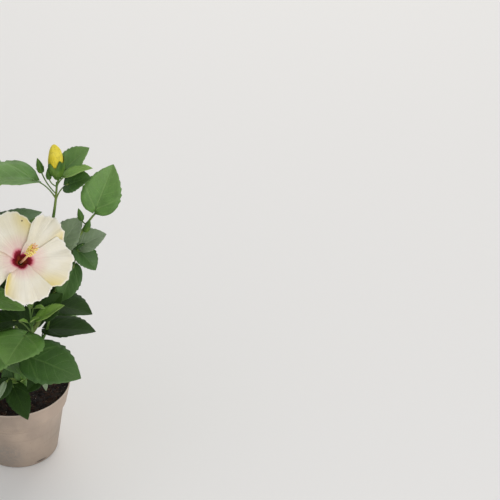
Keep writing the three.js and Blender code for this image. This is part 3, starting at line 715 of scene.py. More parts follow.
def grown_leaf(curve, at, age, turn, draw):
    """The rule for one leaf: the older it is, the larger and the more it hangs."""

    def scatter(reach):
        return draw(-reach, reach)

    turn = outward(turn + scatter(LEAF_SCATTER.turn), curve.point(at), OUTWARD_PULL.leaf)
    rise = lerp(*LEAF_BY_AGE.rise, age) + scatter(LEAF_SCATTER.rise)
    length = lerp(*LEAF_BY_AGE.length, age) + draw(*LEAF_SCATTER.length)
    stalk = lerp(*LEAF_BY_AGE.stalk, age) + scatter(LEAF_SCATTER.stalk)
    pitch = rise - lerp(*LEAF_BY_AGE.nod, age) + scatter(LEAF_SCATTER.pitch)
    return leaf_of(
        curve, at, (turn, rise, stalk), (turn, pitch, scatter(LEAF_SCATTER.roll)),
        (length, length * draw(*LEAF_BLADE.width)), (draw(*LEAF_BLADE.fold), draw(*LEAF_BLADE.droop)),
        wave=draw(*LEAF_BLADE.wave), phase=draw(0, 6), age=age,
    )


def growth(plan, shoot):
    """Twigs of a shoot, then its leaves in a spiral, every third on a twig. Some have fallen."""
    draw = seeded(plan.seed)
    start = draw(0, 360)
    count = plan.twigs
    twigs = [grown_twig(shoot, (i + 0.5) / count, start + 180 * i, draw) for i in range(count)]
    leaves = []
    for i in range(plan.grown):
        on_twig = count > 0 and i % 3 == 2
        curve = twigs[i % count] if on_twig else shoot
        age = draw(*LEAF_ON_TWIG.age) if on_twig else 1 - (i + 0.5) / plan.grown
        at = lerp(*LEAF_ON_TWIG.at, age) if on_twig else lerp(*LEAF_BY_AGE.at, age)
        leaves.append(grown_leaf(curve, at, age, start + SPIRAL * i, draw))
    return twigs, [leaf for i, leaf in enumerate(leaves) if i not in plan.fallen]


def blade_shape(along):
    """Half-width of a blade as a share of its widest, from foot (0) to tip (1)."""
    return along**0.5 * (1 - along) ** 0.9 / ((0.5 / 1.4) ** 0.5 * (0.9 / 1.4) ** 0.9)


def blade_point(leaf, across, along, lift=0.0):
    """A point of a blade folded on its midrib and drooping: x across, y ahead, z up."""
    x = across * max(lerp(0.7, 0.15, along), leaf.width / 2 * blade_shape(along))
    reach = leaf.length * along - 0.1 * leaf.width * across**2 * (1 - along) ** 4
    wave = leaf.wave * leaf.length * sin(9 * along + leaf.phase) * across**2 * sin(pi * along)
    angle = leaf.droop * reach / leaf.length
    bow = leaf.length / leaf.droop
    height = bow + leaf.fold * abs(x) + wave + lift
    return Vector((x, height * sin(angle), height * cos(angle) - bow))


def leaf_place(leaf):
    """Root and foot of a leaf's stalk, its blade's direction and its blade's frame."""
    root = leaf.curve.point(leaf.at)
    foot = root + way(leaf.turn, leaf.rise) * leaf.stalk
    ahead = way(leaf.aim, leaf.pitch)
    up = Matrix.Rotation(radians(leaf.roll), 3, ahead) @ way(leaf.aim, leaf.pitch + 90)
    turned = Matrix((ahead.cross(up), ahead, up)).transposed().to_4x4()
    return root, foot, ahead, Matrix.Translation(foot) @ turned


def solid_of(node):
    """A node's solid to measure distances to."""
    held = bmesh.new()
    held.from_mesh(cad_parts[node].data)
    solid = BVHTree.FromBMesh(held)
    held.free()
    return solid


def is_near(solid, point, reach):
    return solid.find_nearest(point * MM, reach * MM)[0] is not None


def blade_spots(leaf, rows):
    """Points of a blade's midrib and edges at some shares of its length."""
    spot = leaf_place(leaf)[3]
    return [spot @ blade_point(leaf, across, along) for along in rows for across in (-1, 0, 1)]


def lies_on(solid, leaf):
    """Whether a leaf's blade lies on its mass of foliage."""
    return all(is_near(solid, point, BLADE_ON_SOLID) for point in blade_spots(leaf, SOLID_ROWS))


def settled(solid, leaf):
    """The first place of a leaf of the rule that lies on its mass, if there is one."""
    for turn, tilt in TRIES:
        moved = {"turn": leaf.turn + turn, "aim": leaf.aim + turn, "pitch": leaf.pitch + tilt}
        tried = SimpleNamespace(**{**vars(leaf), **moved})
        if lies_on(solid, tried):
            return tried
    return None


def taper(radii):
    return lambda along: lerp(*radii, along)


def stalk_radius(along):
    """A leaf stalk is swollen at both its ends."""
    foot = STALK_SWELL.foot * exp(-STALK_SWELL.fall * along)
    end = STALK_SWELL.end * exp(-STALK_SWELL.fall * (1 - along))
    return lerp(*STALK_RADIUS, along) + foot + end


def stem_finish():
    """Smooth young stem: fresh green, redder in places, with fine grooves along it."""
    finish = Finish("green_stem", 0.45, Roughness=0.45)
    place = finish.place()
    finish.mottle(place.noise(45).step(0.35, 0.65), (80, 112, 44), (120, 140, 66))
    finish.coat(place.noise(22, 2).step(0.58, 0.75) * 0.6, 128, 96, 62)
    finish.feed(Normal=place.stretch((1, 1, 0.15)).noise(1200, 2).bump(0.3, 0.3))
    return finish


def add_stalk(leaf, sunk, radius_at, sides, steps):
    """Adds a leaf's stalk, with its end sunk into the blade."""
    root, foot, ahead = leaf_place(leaf)[:3]
    curve = Bend(root, foot - ahead * 0.35 * leaf.stalk, foot + ahead * sunk)
    add_limb(stem_shape, curve, radius_at, sides, steps)


stem_shape = bmesh.new()
for mass in crown:
    shoot = mass.shoot
    mass.solid = solid_of(mass.node)
    rooted = Bend(shoot.start - shoot.ahead(0) * SHOOT_IN_BOUGH, shoot.corner, shoot.end)
    add_limb(stem_shape, rooted, taper(SHOOT_RADIUS), sides=12, steps=26, relief=0.02)
    twigs, leaves = growth(mass.plan, shoot)
    mass.twigs = [
        twig for twig in twigs
        if all(is_near(mass.solid, twig.point(t), TWIG_ON_SOLID) for t in TWIG_SPOTS)
    ]
    for twig in mass.twigs:
        add_limb(stem_shape, twig, taper(TWIG_RADIUS), sides=10, steps=18, relief=0.02)
    bare = [twig for twig in twigs if twig not in mass.twigs]
    grown = [settled(mass.solid, leaf) for leaf in leaves if leaf.curve not in bare]
    shown = [leaf_of(shoot, *row) for row in mass.plan.shown]
    mass.shown = [leaf for leaf in shown if lies_on(mass.solid, leaf)]
    mass.grown = [leaf for leaf in grown if leaf]
    for leaf in mass.shown + mass.grown:
        add_stalk(leaf, STALK_IN_BLADE, stalk_radius, sides=8, steps=10)

# Young growth: each shoot and twig ends in a tuft of small unfolding leaves. In the axils
# of older leaves stand short spurs, and on the fuller side of the crown leafy sprays.
SMALL_STALK_RADIUS = (0.45, 0.45)
SMALL_STALK_IN_BLADE = 2
SMALL_LEAF = SimpleNamespace(width=0.56, nod=14, bent=(0.5, 0.4))
SPUR_RADIUS = (0.7, 0.5)
SPUR = SimpleNamespace(swing=30, rise=(48, 70), length=(7, 12))
SPUR_LEAF = SimpleNamespace(turns=(-70, 80), rise=(30, 60), stalk=3, length=(9, 15))
SPRAY_LENGTH = (15, 26)
SPRAY_RISE = 42
SPRAY_LEAF = SimpleNamespace(stalk=0.3, width=0.72, nod=38, bent=(0.25, 0.4))
SPRAY_LEAF_LENGTH = (18, 30)
SPRAY_LEAF_RISE = (20, 55)
SPRAY_PLACES = [(0.45, 80), (0.7, -75), (0.9, 150), (1, 0)]
SPRAY_TURNS = (0, 50, -50, 100)
SPRAY_GAP = 2.2
SPRAY_ROWS = (0.2, 0.5, 0.75, 1)
SPRAY_APART = 7
SPRAY_SIDE = -27
CROWN = SimpleNamespace(middle=Vector((2, 2, 232)), reach=(116, 112, 168))
EYE = Vector((30, -54, 305))
BEHIND_BLOOM = Vector((0, 0.83, -0.56))
BLOOM_COVER = 38
BLOOM_DEPTH = 15
BLOOM_GAP = 8

# The leaves of a tuft as (turn, rise, length of the stalk, length of the leaf).
TUFT = [(0, 62, 5, 17), (125, 50, 6, 14), (240, 70, 4, 11)]
bloom_solid = solid_of("bloom")


def upturned(root, ahead, length):
    """A short side twig that turns up at its end."""
    corner = root + ahead * 0.5 * length
    return Bend(root, corner, root + ahead * 0.9 * length + Z * 0.2 * length)


def small_leaf(curve, at, turn, rise, stalk, length):
    blade, size = (turn, rise - SMALL_LEAF.nod, 0), (length, length * SMALL_LEAF.width)
    return leaf_of(curve, at, (turn, rise, stalk), blade, size, SMALL_LEAF.bent, "young", phase=turn)


def spray_leaf(curve, at, turn, rise, length):
    tone = "mid" if at < 1 else "young"
    stalk, blade = (turn, rise, SPRAY_LEAF.stalk * length), (turn, rise - SPRAY_LEAF.nod, 0)
    size = length, SPRAY_LEAF.width * length
    return leaf_of(curve, at, stalk, blade, size, SPRAY_LEAF.bent, tone, phase=turn)


def has_room(point, taken):
    """Whether a point is inside the crown, in its full part and clear of all leaves."""
    inside = Vector([(p - m) / r for p, m, r in zip(point, CROWN.middle, CROWN.reach)]).length < 1
    behind = (point - EYE).dot(BEHIND_BLOOM)
    covered = behind > BLOOM_DEPTH and (point - EYE - BEHIND_BLOOM * behind).length < BLOOM_COVER
    if not inside or not (covered or point.x < SPRAY_SIDE):
        return False
    gaps = [(bloom_solid, BLOOM_GAP)] + [(mass.solid, SPRAY_GAP) for mass in crown]
    if any(is_near(solid, point, gap) for solid, gap in gaps):
        return False
    return all((point - other).length > SPRAY_APART for other in taken)


def spray(leaf, draw, taken):
    """A side twig in a leaf's axil with the leaves that have room on it."""
    root = leaf.curve.point(leaf.at)
    length = draw(*SPRAY_LENGTH)
    sizes = [draw(*SPRAY_LEAF_LENGTH) for place in SPRAY_PLACES]
    rises = [draw(*SPRAY_LEAF_RISE) for place in SPRAY_PLACES]
    best = None, []
    for turn in SPRAY_TURNS:
        twig = upturned(root, way(leaf.turn + turn, SPRAY_RISE), length)
        places = zip(SPRAY_PLACES, rises, sizes)
        leaves = [
            spray_leaf(twig, at, leaf.turn + turn + side, rise, size) for (at, side), rise, size in places
        ]
        kept = [
            one for one in leaves
            if all(has_room(point, taken) for point in blade_spots(one, SPRAY_ROWS))
        ]
        if is_near(bloom_solid, twig.end, BLOOM_GAP):
            continue
        if len(kept) > len(best[1]):
            best = twig, kept
    return best


def add_spur(mass, curve, at, turn, draw):
    """A short side twig with a pair of small leaves."""
    root = curve.point(at)
    ahead = way(turn + draw(-SPUR.swing, SPUR.swing), draw(*SPUR.rise))
    spur = upturned(root, ahead, draw(*SPUR.length))
    add_limb(stem_shape, spur, taper(SPUR_RADIUS), sides=7, steps=6)
    for side in SPUR_LEAF.turns:
        rise, length = draw(*SPUR_LEAF.rise), draw(*SPUR_LEAF.length)
        mass.small.append(small_leaf(spur, 1, turn + side, rise, SPUR_LEAF.stalk, length))


taken = []
for mass in crown:
    draw = seeded(mass.plan.seed + 1)
    mass.small, mass.sprays = [], []
    full = mass.plan.tuft or (0 if mass.shown else 1)
    ends = [(mass.shoot, full)] * (full > 0) + [(twig, 1) for twig in mass.twigs]
    for curve, size in [] if mass.plan.bare else ends:
        start = draw(0, 360)
        for turn, rise, stalk, length in TUFT:
            mass.small.append(small_leaf(curve, 1, start + turn, rise, stalk * size, length * size))
    for leaf in mass.grown:
        twig, kept = spray(leaf, draw, taken)
        if kept:
            add_limb(stem_shape, twig, taper(SPUR_RADIUS), sides=8, steps=8)
            mass.sprays += kept
            taken += [point for one in kept for point in blade_spots(one, SPRAY_ROWS)]
        elif not mass.plan.bare:
            add_spur(mass, leaf.curve, leaf.at, leaf.turn, draw)
    for i, at in enumerate(mass.plan.spurs):
        add_spur(mass, mass.shoot, at, SPIRAL * i - 90, draw)
    mass.sprays += [leaf_of(mass.shoot, *row) for row in mass.plan.extra]
    for leaf in mass.small + mass.sprays:
        add_stalk(leaf, SMALL_STALK_IN_BLADE, taper(SMALL_STALK_RADIUS), sides=6, steps=5)

# Leaves: broad, pointed and glossy, folded on the midrib and coarsely toothed towards
# the tip, with pale veins that fan from the stalk. Young ones are smaller and yellower.
LEAF_THICKNESS = 0.4
LEAF_GRID = SimpleNamespace(grown=(8, 27), small=(4, 10), spray=(6, 18))
TOOTH = (-0.3, 0.35, 1)
TOOTH_DEPTH = 0.065
TOOTH_FORWARD = 0.12
RIB_DEPTH = 0.9
QUILT = 0.007
VEIN_PAIRS = 6
DARK_BELOW = 205
DARK_EVERY = 4
YOUNG_AGE = 0.24
UNDERSIDE_SHADE = 0.85


def sheet(columns, rows):
    """A flat unit square in columns and rows, with its places as UVs."""
    shape = bmesh.new()
    shape.loops.layers.uv.new("UVMap")
    bmesh.ops.create_grid(shape, x_segments=columns, y_segments=rows, size=0.5, calc_uvs=True)
    return shape


def blade_mesh(leaf, columns, rows):
    """A blade; at its toothed edge one row in three stands out and forward."""
    shape = sheet(columns, rows)
    spot = leaf_place(leaf)[3]
    for v in shape.verts:
        across, along = 2 * v.co.x, v.co.y + 0.5
        row = round(along * rows)
        edge = smoothstep(abs(across), 0.6, 1)
        tooth = edge * TOOTH_DEPTH * TOOTH[row % 3] * smoothstep(along, 0.2, 0.5) * (1 - along**8)
        rib = RIB_DEPTH * exp(-(across * 9) ** 2) * (1 - along)
        swell = cos(2 * pi * (along - 0.3 * abs(across)) * VEIN_PAIRS) * abs(across) * (1 - edge)
        lift = QUILT * leaf.width * swell - rib
        v.co = spot @ blade_point(leaf, across * (1 + tooth), min(along + TOOTH_FORWARD * tooth, 1), lift)
    return shape


def add_leaves(leaves, grid):
    for leaf in leaves:
        move_into(leaf_shapes[leaf.tone], blade_mesh(leaf, *grid))


def thicken(piece, thickness):
    """Gives a blade its thickness, half to each side."""
    thick = piece.modifiers.new("Thickness", "SOLIDIFY")
    thick.thickness = thickness * MM
    thick.offset = 0
    return thick


def leaf_finish(name, base, vein, rough, gloss):
    """A glossy blade: one plain green, paler along the veins, puckered between them."""
    finish = Finish(name, gloss)
    place = finish.place()
    surface = finish.surface()
    across = abs(surface.part("X") * 2 - 1)
    along = surface.part("Y")
    side_vein = abs(((along - across * 0.3) * VEIN_PAIRS).calc("FRACT") - 0.5) * 2
    pinnate = side_vein.step(0.86, 0.98) * (1 - across.step(0.6, 0.95))
    midrib = 1 - across.step(0.02, 0.06)
    fan = abs(across - along * 1.9 - 0.05)
    palmate = (1 - fan.step(0.03, 0.08)) * (1 - along.step(0.3, 0.6))
    veins = midrib.calc("MAXIMUM", pinnate * 0.75).calc("MAXIMUM", palmate * 0.8)
    between = side_vein.step(0.1, 0.6) * (1 - across.step(0.75, 1))
    cloud = place.noise(60)
    shade = finish.mix(cloud.step(0.3, 0.7) * 0.6, base, scaled(base, 0.6))
    patched = finish.mix(between * 0.08, shade, scaled(base, 1.5))
    faded = finish.mix(along.step(0.15, 1) * 0.3, patched, vein)
    finish.mix(veins * 0.35, faded, vein)
    net = finish.node("TexVoronoi", {"feature": "DISTANCE_TO_EDGE"}, {"Vector": place, "Scale": 420})
    puckers = net.step(0.0, 0.12) * 0.5 - veins * 1.2 + cloud * 0.6
    finish.feed(Roughness=cloud * 0.2 + rough, Normal=puckers.bump(0.6, 0.4))
    return finish


def under_finish(name, base):
    """The underside of a blade: paler and duller."""
    finish = Finish(name, 0.3)
    cloud = finish.place().noise(70)
    finish.mix(cloud.step(0.3, 0.7) * 0.4, base, scaled(base, 0.8))
    finish.feed(Roughness=cloud * 0.2 + 0.55)
    return finish


# Tones of green: dark is painted shade for leaves that lie in shade, pale is a painted glare for leaves
# that catch the light; mid, deep and young are leaf greens.
LEAF_GREENS = {
    "dark": (paint(34, 60, 14), paint(64, 92, 36), 0.42, 0.2),
    "deep": (paint(62, 98, 38), paint(102, 136, 68), 0.36, 0.42),
    "mid": (paint(96, 138, 58), paint(136, 168, 92), 0.34, 0.5),
    "pale": (paint(126, 146, 108), paint(160, 176, 142), 0.36, 0.5),
    "young": (paint(124, 166, 62), paint(166, 196, 108), 0.38, 0.5),
}
leaf_shapes = {tone: bmesh.new() for tone in LEAF_GREENS}
for mass in crown:
    for i, leaf in enumerate(mass.grown):
        # Leaves low on the plant get the deeper green as painted shade under the crown; every fourth leaf
        # gets it as a change of tone.
        low = leaf_place(leaf)[1].z < DARK_BELOW or i % DARK_EVERY == DARK_EVERY - 1
        leaf.tone = "young" if leaf.age < YOUNG_AGE else "deep" if low else "mid"
    add_leaves(mass.shown + mass.grown, LEAF_GRID.grown)
    add_leaves(mass.small, LEAF_GRID.small)
    add_leaves(mass.sprays, LEAF_GRID.spray)
for tone, (base, vein, rough, gloss) in LEAF_GREENS.items():
    upper = leaf_finish(tone + "_leaf", base, vein, rough, gloss)
    under = under_finish(tone + "_underside", scaled(vein, UNDERSIDE_SHADE))
    leaves = as_piece("leaves_" + tone, leaf_shapes[tone], upper, under)
    thick = thicken(leaves, LEAF_THICKNESS)
    thick.material_offset = thick.material_offset_rim = 1
    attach(leaves, "root")
    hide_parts(*[mass.node for mass in crown])

# Buds: a pointed green calyx with ribs in a ring of thin bracts. The largest has opened
# enough to show its rolled yellow petals, and unripe ones are closed.
BUD_STALK_RADIUS = (0.75, 0.75)
ROLLED_RINGS = 32
ROLLED_LAPS = 3
PETAL_BUD_LENGTH = 30
BRACT_COUNT = 7
BRACT_RADIUS = (0.6, 0.15)
BRACT_RISE = 38
CALYX_GREENS = (62, 98, 28), (98, 130, 46)

# A calyx: its height and width as shares of the bud's, its bracts' reach and its profile.
CLOSED = SimpleNamespace(
    high=1, wide=0.86, bract=0.29,
    profile=[(0, 0), (0.72, 0.08), (0.95, 0.2), (1, 0.34), (0.84, 0.6), (0.5, 0.8), (0.2, 0.93), (0, 1)],
)
OPENING = SimpleNamespace(
    high=0.56, wide=1.14, bract=0.14,
    profile=[(0, 0), (0.36, 0.08), (0.66, 0.3), (0.92, 0.6), (1, 1), (0.95, 1), (0.86, 0.6), (0, 0.2)],
)


def rolled_swell(share):
    """Radius of the rolled petals as a share of the widest, from foot (0) to tip (1)."""
    return share**0.7 * (1 - share) ** 0.6 / 0.408


def add_bud(green, yellow, foot, ahead, length, radius):
    """Adds a bud: the calyx, and above it the rolled petals of one that is opening."""
    turned = Z.rotation_difference(ahead).to_matrix().to_4x4()
    spot = Matrix.Translation(foot) @ turned
    form = OPENING if length > PETAL_BUD_LENGTH else CLOSED
    if form is OPENING:
        heights = [i / ROLLED_RINGS for i in range(ROLLED_RINGS + 1)]
        roll = spun([(radius * rolled_swell(h), length * h) for h in heights], 72)
        for v in roll.verts:
            turn = atan2(v.co.y, v.co.x) / (2 * pi)
            lap = (ROLLED_LAPS * turn + 1.1 * v.co.z / length + 0.8) % 1
            v.co.xy *= 0.91 + 0.16 * min(lap, 8 * (1 - lap))
            v.co = spot @ v.co
        add_shape(yellow, roll)
    wide, high = radius * form.wide, length * form.high
    calyx = spun([(wide * r, high * h + 0.01) for r, h in form.profile], 40)
    for v in calyx.verts:
        turn = atan2(v.co.y, v.co.x)
        v.co.xy *= 1 + 0.05 * cos(5 * turn)
        if form is OPENING and v.co.z > 0.6 * high:
            v.co.z -= 0.14 * length * (0.5 - 0.5 * cos(5 * turn - 1.2))
            v.co.z += 0.1 * length * max(0, cos(turn))
        v.co = spot @ v.co
    add_shape(green, calyx)
    for i in range(BRACT_COUNT):
        turn = 360 * i / BRACT_COUNT
        out = spot.to_3x3() @ way(turn, BRACT_RISE)
        start = foot + ahead * 0.06 * length
        reach = length * form.bract
        bract = Bend(start, start + out * reach, start + out * 1.05 * reach + ahead * 0.2 * length)
        add_limb(green, bract, taper(BRACT_RADIUS), sides=6, steps=6)


bud_shape = bmesh.new()
rolled_shape = bmesh.new()
for mass in crown:
    for at, stalk, bud, (length, radius) in mass.plan.buds:
        root = mass.shoot.point(at)
        foot = root + way(*stalk[:2]) * stalk[2]
        ahead = way(*bud)
        curve = Bend(root, foot - ahead * 0.4 * stalk[2], foot + ahead * 0.3 * length)
        add_limb(stem_shape, curve, taper(BUD_STALK_RADIUS), sides=8, steps=12)
        add_bud(bud_shape, rolled_shape, foot, ahead, length, radius)


def soft_finish(name, first, second, rough=0.45, gloss=0.4, blotches=90, grain=1300, relief=0.35):
    """A matt skin between two near colours, with a fine grain."""
    finish = Finish(name, gloss)
    place = finish.place()
    blotch = place.noise(blotches)
    finish.mottle(blotch.step(0.35, 0.7), first, second)
    finish.feed(Roughness=blotch * 0.2 + rough, Normal=place.noise(grain, 2).bump(relief, 0.2))
    return finish


def rolled_finish():
    """Yellow petals, creased along their length."""
    finish = Finish("rolled_petals", 0.3)
    place = finish.place()
    blotch = place.noise(70)
    creases = place.stretch((1, 1, 0.12)).noise(900)
    finish.mottle(blotch.step(0.35, 0.7), (226, 204, 48), (240, 222, 84))
    finish.coat(creases.step(0.52, 0.66) * 0.5, 168, 156, 58)
    finish.feed(Roughness=blotch * 0.2 + 0.5, Normal=creases.bump(0.5, 0.4))
    return finish


buds = as_piece("buds", bud_shape, soft_finish("calyx", *CALYX_GREENS))
rolled = as_piece("bud_petals", rolled_shape, rolled_finish())
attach(buds, "root")
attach(rolled, "root")

# Bloom: one fully open flower of five overlapping ruffled petals, cream white with a
# crimson eye and yellow margins. A calyx holds it and a column of stamens stands out.
AXIS = Vector((0.27, -0.64, 0.72)).normalized()
BLOOM_UP = (Z - AXIS * Z.dot(AXIS)).normalized()
BLOOM_RIGHT = BLOOM_UP.cross(AXIS)
PETAL_LENGTH = 59
PETAL_FOOT_ANGLE = 62
PETAL_THICKNESS = 0.5
PETAL_OVERLAP = 1.8
PETAL_RUFFLE = 2.5
PETAL_COLUMNS = 52
PETAL_ROWS = 56
THROAT_RADIUS = 2.6
THROAT_DEPTH = 13
THROAT_OPEN = 18
FACE_OPEN = 80
TRUMPET_STEPS = 16
COLUMN_BEND = (4, -1, 16)
COLUMN_TIP = (10, 5, 31)
COLUMN_RADIUS = (1.4, 1.0)
ANTHER_COUNT = 64
ANTHERS_ON_COLUMN = (0.56, 0.96)
ANTHER_RADIUS = (0.75, 1.05)
ANTHER_FORM = (1.25, 1, 0.9, 1)
FILAMENT_LENGTH = (2.8, 4.6)
FILAMENT_LEAN = (0.5, 2)
FILAMENT_RADIUS = (0.22, 0.22)
STIGMA_COUNT = 5
STIGMA_SPREAD = 2.6
STIGMA_REACH = 3
STIGMA_RADIUS = 0.95
STYLE_RADIUS = (0.4, 0.4)
POWDER = (0.25, 260, 2400, 0.5)
CALYX_LENGTH = 20
CALYX_LOBE = 7
CUP_PROFILE = [(0, 0), (3.4, 1), (5, 4), (5.6, 9), (5.4, 9), (4.4, 5), (0, 3)]
CUP_BRACT_RADIUS = (0.7, 0.2)
BLOOM_STALK_BEND = 18
BLOOM_STALK_RADIUS = (1.1, 1.3)

# Petals from the upper right on, as (turn, length as a share, angle to the left and to
# the right, rounding of the end to the left and to the right, share that the eye reaches)
PETALS = [
    (38, 1.07, 24, 32, 0.26, 0.24, 0.2),
    (104, 1.02, 42, 44, 0.2, 0.24, 0.27),
    (180, 1, 36, 42, 0.2, 0.24, 0.26),
    (262, 0.91, 40, 47, 0.1, 0.3, 0.25),
    (340, 1, 41, 42, 0.18, 0.24, 0.27),
]
CURLED_PETAL = 3
CURL = SimpleNamespace(up=11, back=7)
EYE_SHARE = 0.27
PETAL_SPECK = (0.0285, -0.0221, 0.3349)


def bloom_point(right, up, out):
    return EYE + BLOOM_RIGHT * right + BLOOM_UP * up + AXIS * out


def trumpet(along):
    """Reach and rise of the petals at a share of their length: a throat, then the face."""
    step = along * PETAL_LENGTH / TRUMPET_STEPS
    reach, out = THROAT_RADIUS, -THROAT_DEPTH
    for i in range(TRUMPET_STEPS):
        share = along * (i + 0.5) / TRUMPET_STEPS
        opened = radians(lerp(THROAT_OPEN, FACE_OPEN, smoothstep(share, 0, 0.42)) + 10 * share)
        reach += sin(opened) * step
        out += cos(opened) * step
    return reach, out


def petal_point(index, across, along):
    """A point of a petal: a patch of the trumpet, ribbed, ruffled and crinkled."""
    middle, length, left, right = PETALS[index][:4]
    reach, out = trumpet(along * length)
    half = lerp(PETAL_FOOT_ANGLE, left if across < 0 else right, min(1, along / 0.4))
    turn = radians(middle - across * half)
    ruffle = PETAL_RUFFLE * sin(5 * across + 2.1 * index) * along**3
    crinkle = 0.8 * sin(15 * across + 3 * index) * along**5 + 0.35 * sin(31 * across + 5 * index) * along**7
    ribs = 0.12 * cos(44 * across) * smoothstep(along, 0.15, 0.5)
    folds = 0.55 * sin(10 * across + 4 * along + 1.7 * index) * smoothstep(along, 0.3, 0.8)
    lift = ruffle + crinkle + ribs + folds - PETAL_OVERLAP * across * min(1, along / 0.3)
    if index == CURLED_PETAL:
        curl = smoothstep(across, 0.62, 1) * smoothstep(along, 0.35, 0.7)
        lift += CURL.up * curl
        reach -= CURL.back * curl
    return bloom_point(reach * cos(turn), reach * sin(turn), out + lift)


def add_petal(piece, index):
    """Adds a petal with its distance from the eye and its yellow tint as attributes."""
    shape = sheet(PETAL_COLUMNS, PETAL_ROWS)
    far = shape.verts.layers.float.new("far")
    tint = shape.verts.layers.float.new("yellow")
    for v in shape.verts:
        across, row = 2 * v.co.x, v.co.y + 0.5
        notch = 0.016 * cos(9 * across + 2 * index) + 0.012 * cos(23 * across + index)
        notch += 0.006 * cos(47 * across)
        rounding = PETALS[index][4 if across < 0 else 5]
        along = row * (1 - rounding * abs(across) ** 2.5 + notch * row**4)
        side = smoothstep(across, 0.1, 0.95)
        spread = 0.06 * abs(across) ** 1.5 * (1 - smoothstep(along, 0.3, 0.5))
        v[far] = along * EYE_SHARE / PETALS[index][6] + spread
        curled = index == CURLED_PETAL and smoothstep(across, 0.5, 0.9)
        v[tint] = smoothstep(along, 0.35, 0.9) * side * (1 + 0.6 * curled)
        v.co = petal_point(index, across, along)
    move_into(piece, shape)


def petal_finish():
    """Silky cream petal: crimson eye with ragged rays, a pink halo and yellow margins."""
    finish = Finish("petals", 0.25)
    place = finish.place()
    surface = finish.surface()
    far = finish.attribute("far")
    rays = surface.stretch((34, 1.5, 0)).noise(1)
    ragged = far + (rays - 0.5) * 0.06
    cloud = place.noise(40)
    finish.mottle(cloud.step(0.35, 0.7), (236, 227, 200), (243, 236, 216))
    finish.coat(rays.step(0.52, 0.66) * 0.2, 212, 198, 184)
    finish.coat(rays.step(0.42, 0.6) * (1 - far.step(0.3, 0.62)) * 0.45, 226, 180, 180)
    finish.coat(finish.attribute("yellow") * 0.85, 230, 206, 108)
    finish.coat(surface.part("Y").step(0.95, 0.99) * 0.6, 250, 246, 234)
    finish.coat((1 - ragged.step(0.3, 0.62)) * 0.45, 246, 196, 192)
    finish.coat(1 - ragged.step(0.25, 0.34), 220, 110, 132)
    finish.coat(1 - ragged.step(0.24, 0.28), 138, 18, 40)
    finish.coat(1 - ragged.step(0.14, 0.24), 96, 8, 18)
    finish.coat(1 - far.step(0.07, 0.19), 172, 78, 44)
    finish.coat((1 - place.distance(PETAL_SPECK).step(0.0006, 0.0012)) * 0.95, 84, 60, 26)
    creases = rays + place.noise(500) * 0.3
    finish.feed(Roughness=cloud * 0.15 + 0.5, Normal=creases.bump(0.5, 0.6))
    return finish


petal_shape = bmesh.new()
for index in range(len(PETALS)):
    add_petal(petal_shape, index)
petals = as_piece("petals", petal_shape, petal_finish())
thicken(petals, PETAL_THICKNESS)
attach(petals, "root")
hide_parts("bloom")


def beside(curve, at, turn):
    """Direction square to a curve, at a turn about it."""
    ahead = curve.ahead(at)
    side = ahead.cross(LIMB_SIDE).normalized()
    return side * cos(turn) + side.cross(ahead) * sin(turn)


column = Bend(bloom_point(0, 0, -THROAT_DEPTH), bloom_point(*COLUMN_BEND), bloom_point(*COLUMN_TIP))
column_shape = bmesh.new()
add_limb(column_shape, column, taper(COLUMN_RADIUS), sides=16, steps=40)
anther_shape = bmesh.new()
draw = seeded(77)
for i in range(ANTHER_COUNT):
    at = lerp(*ANTHERS_ON_COLUMN, (i + 0.5) / ANTHER_COUNT)
    start, out = column.point(at), beside(column, at, radians(SPIRAL * i))
    length = draw(*FILAMENT_LENGTH)
    tip = start + out * length + column.ahead(at) * draw(*FILAMENT_LEAN)
    filament = Bend(start, start + out * 0.6 * length, tip)
    add_limb(column_shape, filament, taper(FILAMENT_RADIUS), sides=5, steps=4)
    spot = Matrix.Translation(tip) @ Matrix.Diagonal(ANTHER_FORM)
    bmesh.ops.create_icosphere(anther_shape, subdivisions=2, radius=draw(*ANTHER_RADIUS), matrix=spot)
start, ahead = column.point(0.98), column.ahead(1)
for i in range(STIGMA_COUNT):
    out = beside(column, 1, 2 * pi * i / STIGMA_COUNT)
    tip = start + out * STIGMA_SPREAD + ahead * STIGMA_REACH
    style = Bend(start, start + ahead * 2, tip)
    add_limb(column_shape, style, taper(STYLE_RADIUS), sides=6, steps=6)
    spot = Matrix.Translation(tip)
    bmesh.ops.create_icosphere(column_shape, subdivisions=2, radius=STIGMA_RADIUS, matrix=spot)

column_finish = soft_finish("column", (240, 184, 136), (246, 206, 160), 0.5, *POWDER)
pollen_finish = soft_finish("pollen", (246, 218, 110), (253, 236, 160), 0.75, *POWDER)
stamens = as_piece("stamen_column", column_shape, column_finish)
anthers = as_piece("anthers", anther_shape, pollen_finish)
for part in (stamens, anthers):
    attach(part, "root")

back = -THROAT_DEPTH - CALYX_LENGTH / 2
cup_shape = bmesh.new()
lobed = spun(CUP_PROFILE, 60)
for v in lobed.verts:
    lobe = 0.5 + 0.5 * cos(5 * atan2(v.co.y, v.co.x))
    forward = smoothstep(v.co.z, 4, 9) * lobe
    spread = 1 + 0.35 * forward
    v.co = bloom_point(v.co.x * spread, v.co.y * spread, back + v.co.z + CALYX_LOBE * forward)
add_shape(cup_shape, lobed)
for i in range(BRACT_COUNT):
    turn = 2 * pi * i / BRACT_COUNT
    out = BLOOM_RIGHT * cos(turn) + BLOOM_UP * sin(turn)
    start = bloom_point(0, 0, back + 1.5)
    bract = Bend(start + out * 2, start + out * 8, start + out * 9 + AXIS * 8)
    add_limb(cup_shape, bract, taper(CUP_BRACT_RADIUS), sides=6, steps=8)
cup = as_piece("bloom_calyx", cup_shape, soft_finish("calyx", *CALYX_GREENS))
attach(cup, "root")

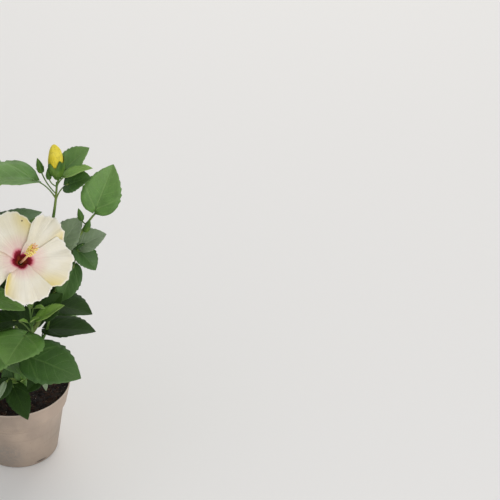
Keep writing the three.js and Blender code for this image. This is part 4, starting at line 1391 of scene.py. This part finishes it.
near_shoot = next(mass.shoot for mass in crown if mass.plan.name == "near")
stalk_foot = near_shoot.end
stalk_curve = Bend(stalk_foot, bloom_point(0, 0, back - BLOOM_STALK_BEND), bloom_point(0, 0, back + 3))
add_limb(stem_shape, stalk_curve, taper(BLOOM_STALK_RADIUS), sides=12, steps=30)
stems = as_piece("stems", stem_shape, stem_finish())
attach(stems, "root")
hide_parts(*[mass.node for mass in crown])

# Floor, light and camera: a pale floor, a key lamp behind the plant and a fill before it,
# and the photograph's view from above. The world is a plain, slightly blue pale grey.
CAMERA_PLACE = (0.276, -1.569, 1.340)
CAMERA_PITCH = 56
CAMERA_LENS = 122.4
LAMP_AIM = Vector((0, 0, 0.2))
SKY = (0.9, 0.93, 1, 1)
SKY_STRENGTH = 0.55
floor_shape = bmesh.new()
bmesh.ops.create_grid(floor_shape, x_segments=1, y_segments=1, size=4 / MM)
floor_finish = Finish("floor", 0.5, Base_Color=paint(238, 235, 229), Roughness=0.8)
floor = as_piece("floor", floor_shape, floor_finish)


def add_lamp(name, place, power, size, colour):
    """A soft square lamp aimed at the middle of the plant."""
    light = bpy.data.lights.new(name, "AREA")
    light.energy, light.size, light.color = power, size, colour
    lamp = put(name, light)
    lamp.location = place
    lamp.rotation_euler = (LAMP_AIM - Vector(place)).to_track_quat("-Z", "Y").to_euler()


add_lamp("key", (0.4, 2.1, 2.4), 39, 2.8, (1, 0.98, 0.95))
add_lamp("fill", (1.4, -2.2, 1.3), 33, 2.2, (0.98, 0.98, 1))
world = bpy.data.worlds.new("studio")
world.use_nodes = True
world.node_tree.nodes["Background"].inputs["Color"].default_value = SKY
world.node_tree.nodes["Background"].inputs["Strength"].default_value = SKY_STRENGTH
bpy.context.scene.world = world

bpy.context.scene.view_settings.view_transform = "Standard"
camera = put("camera", bpy.data.cameras.new("camera"))
camera.location = CAMERA_PLACE
camera.rotation_euler = (radians(CAMERA_PITCH), 0, 0)
camera.data.lens = CAMERA_LENS
bpy.context.scene.camera = camera
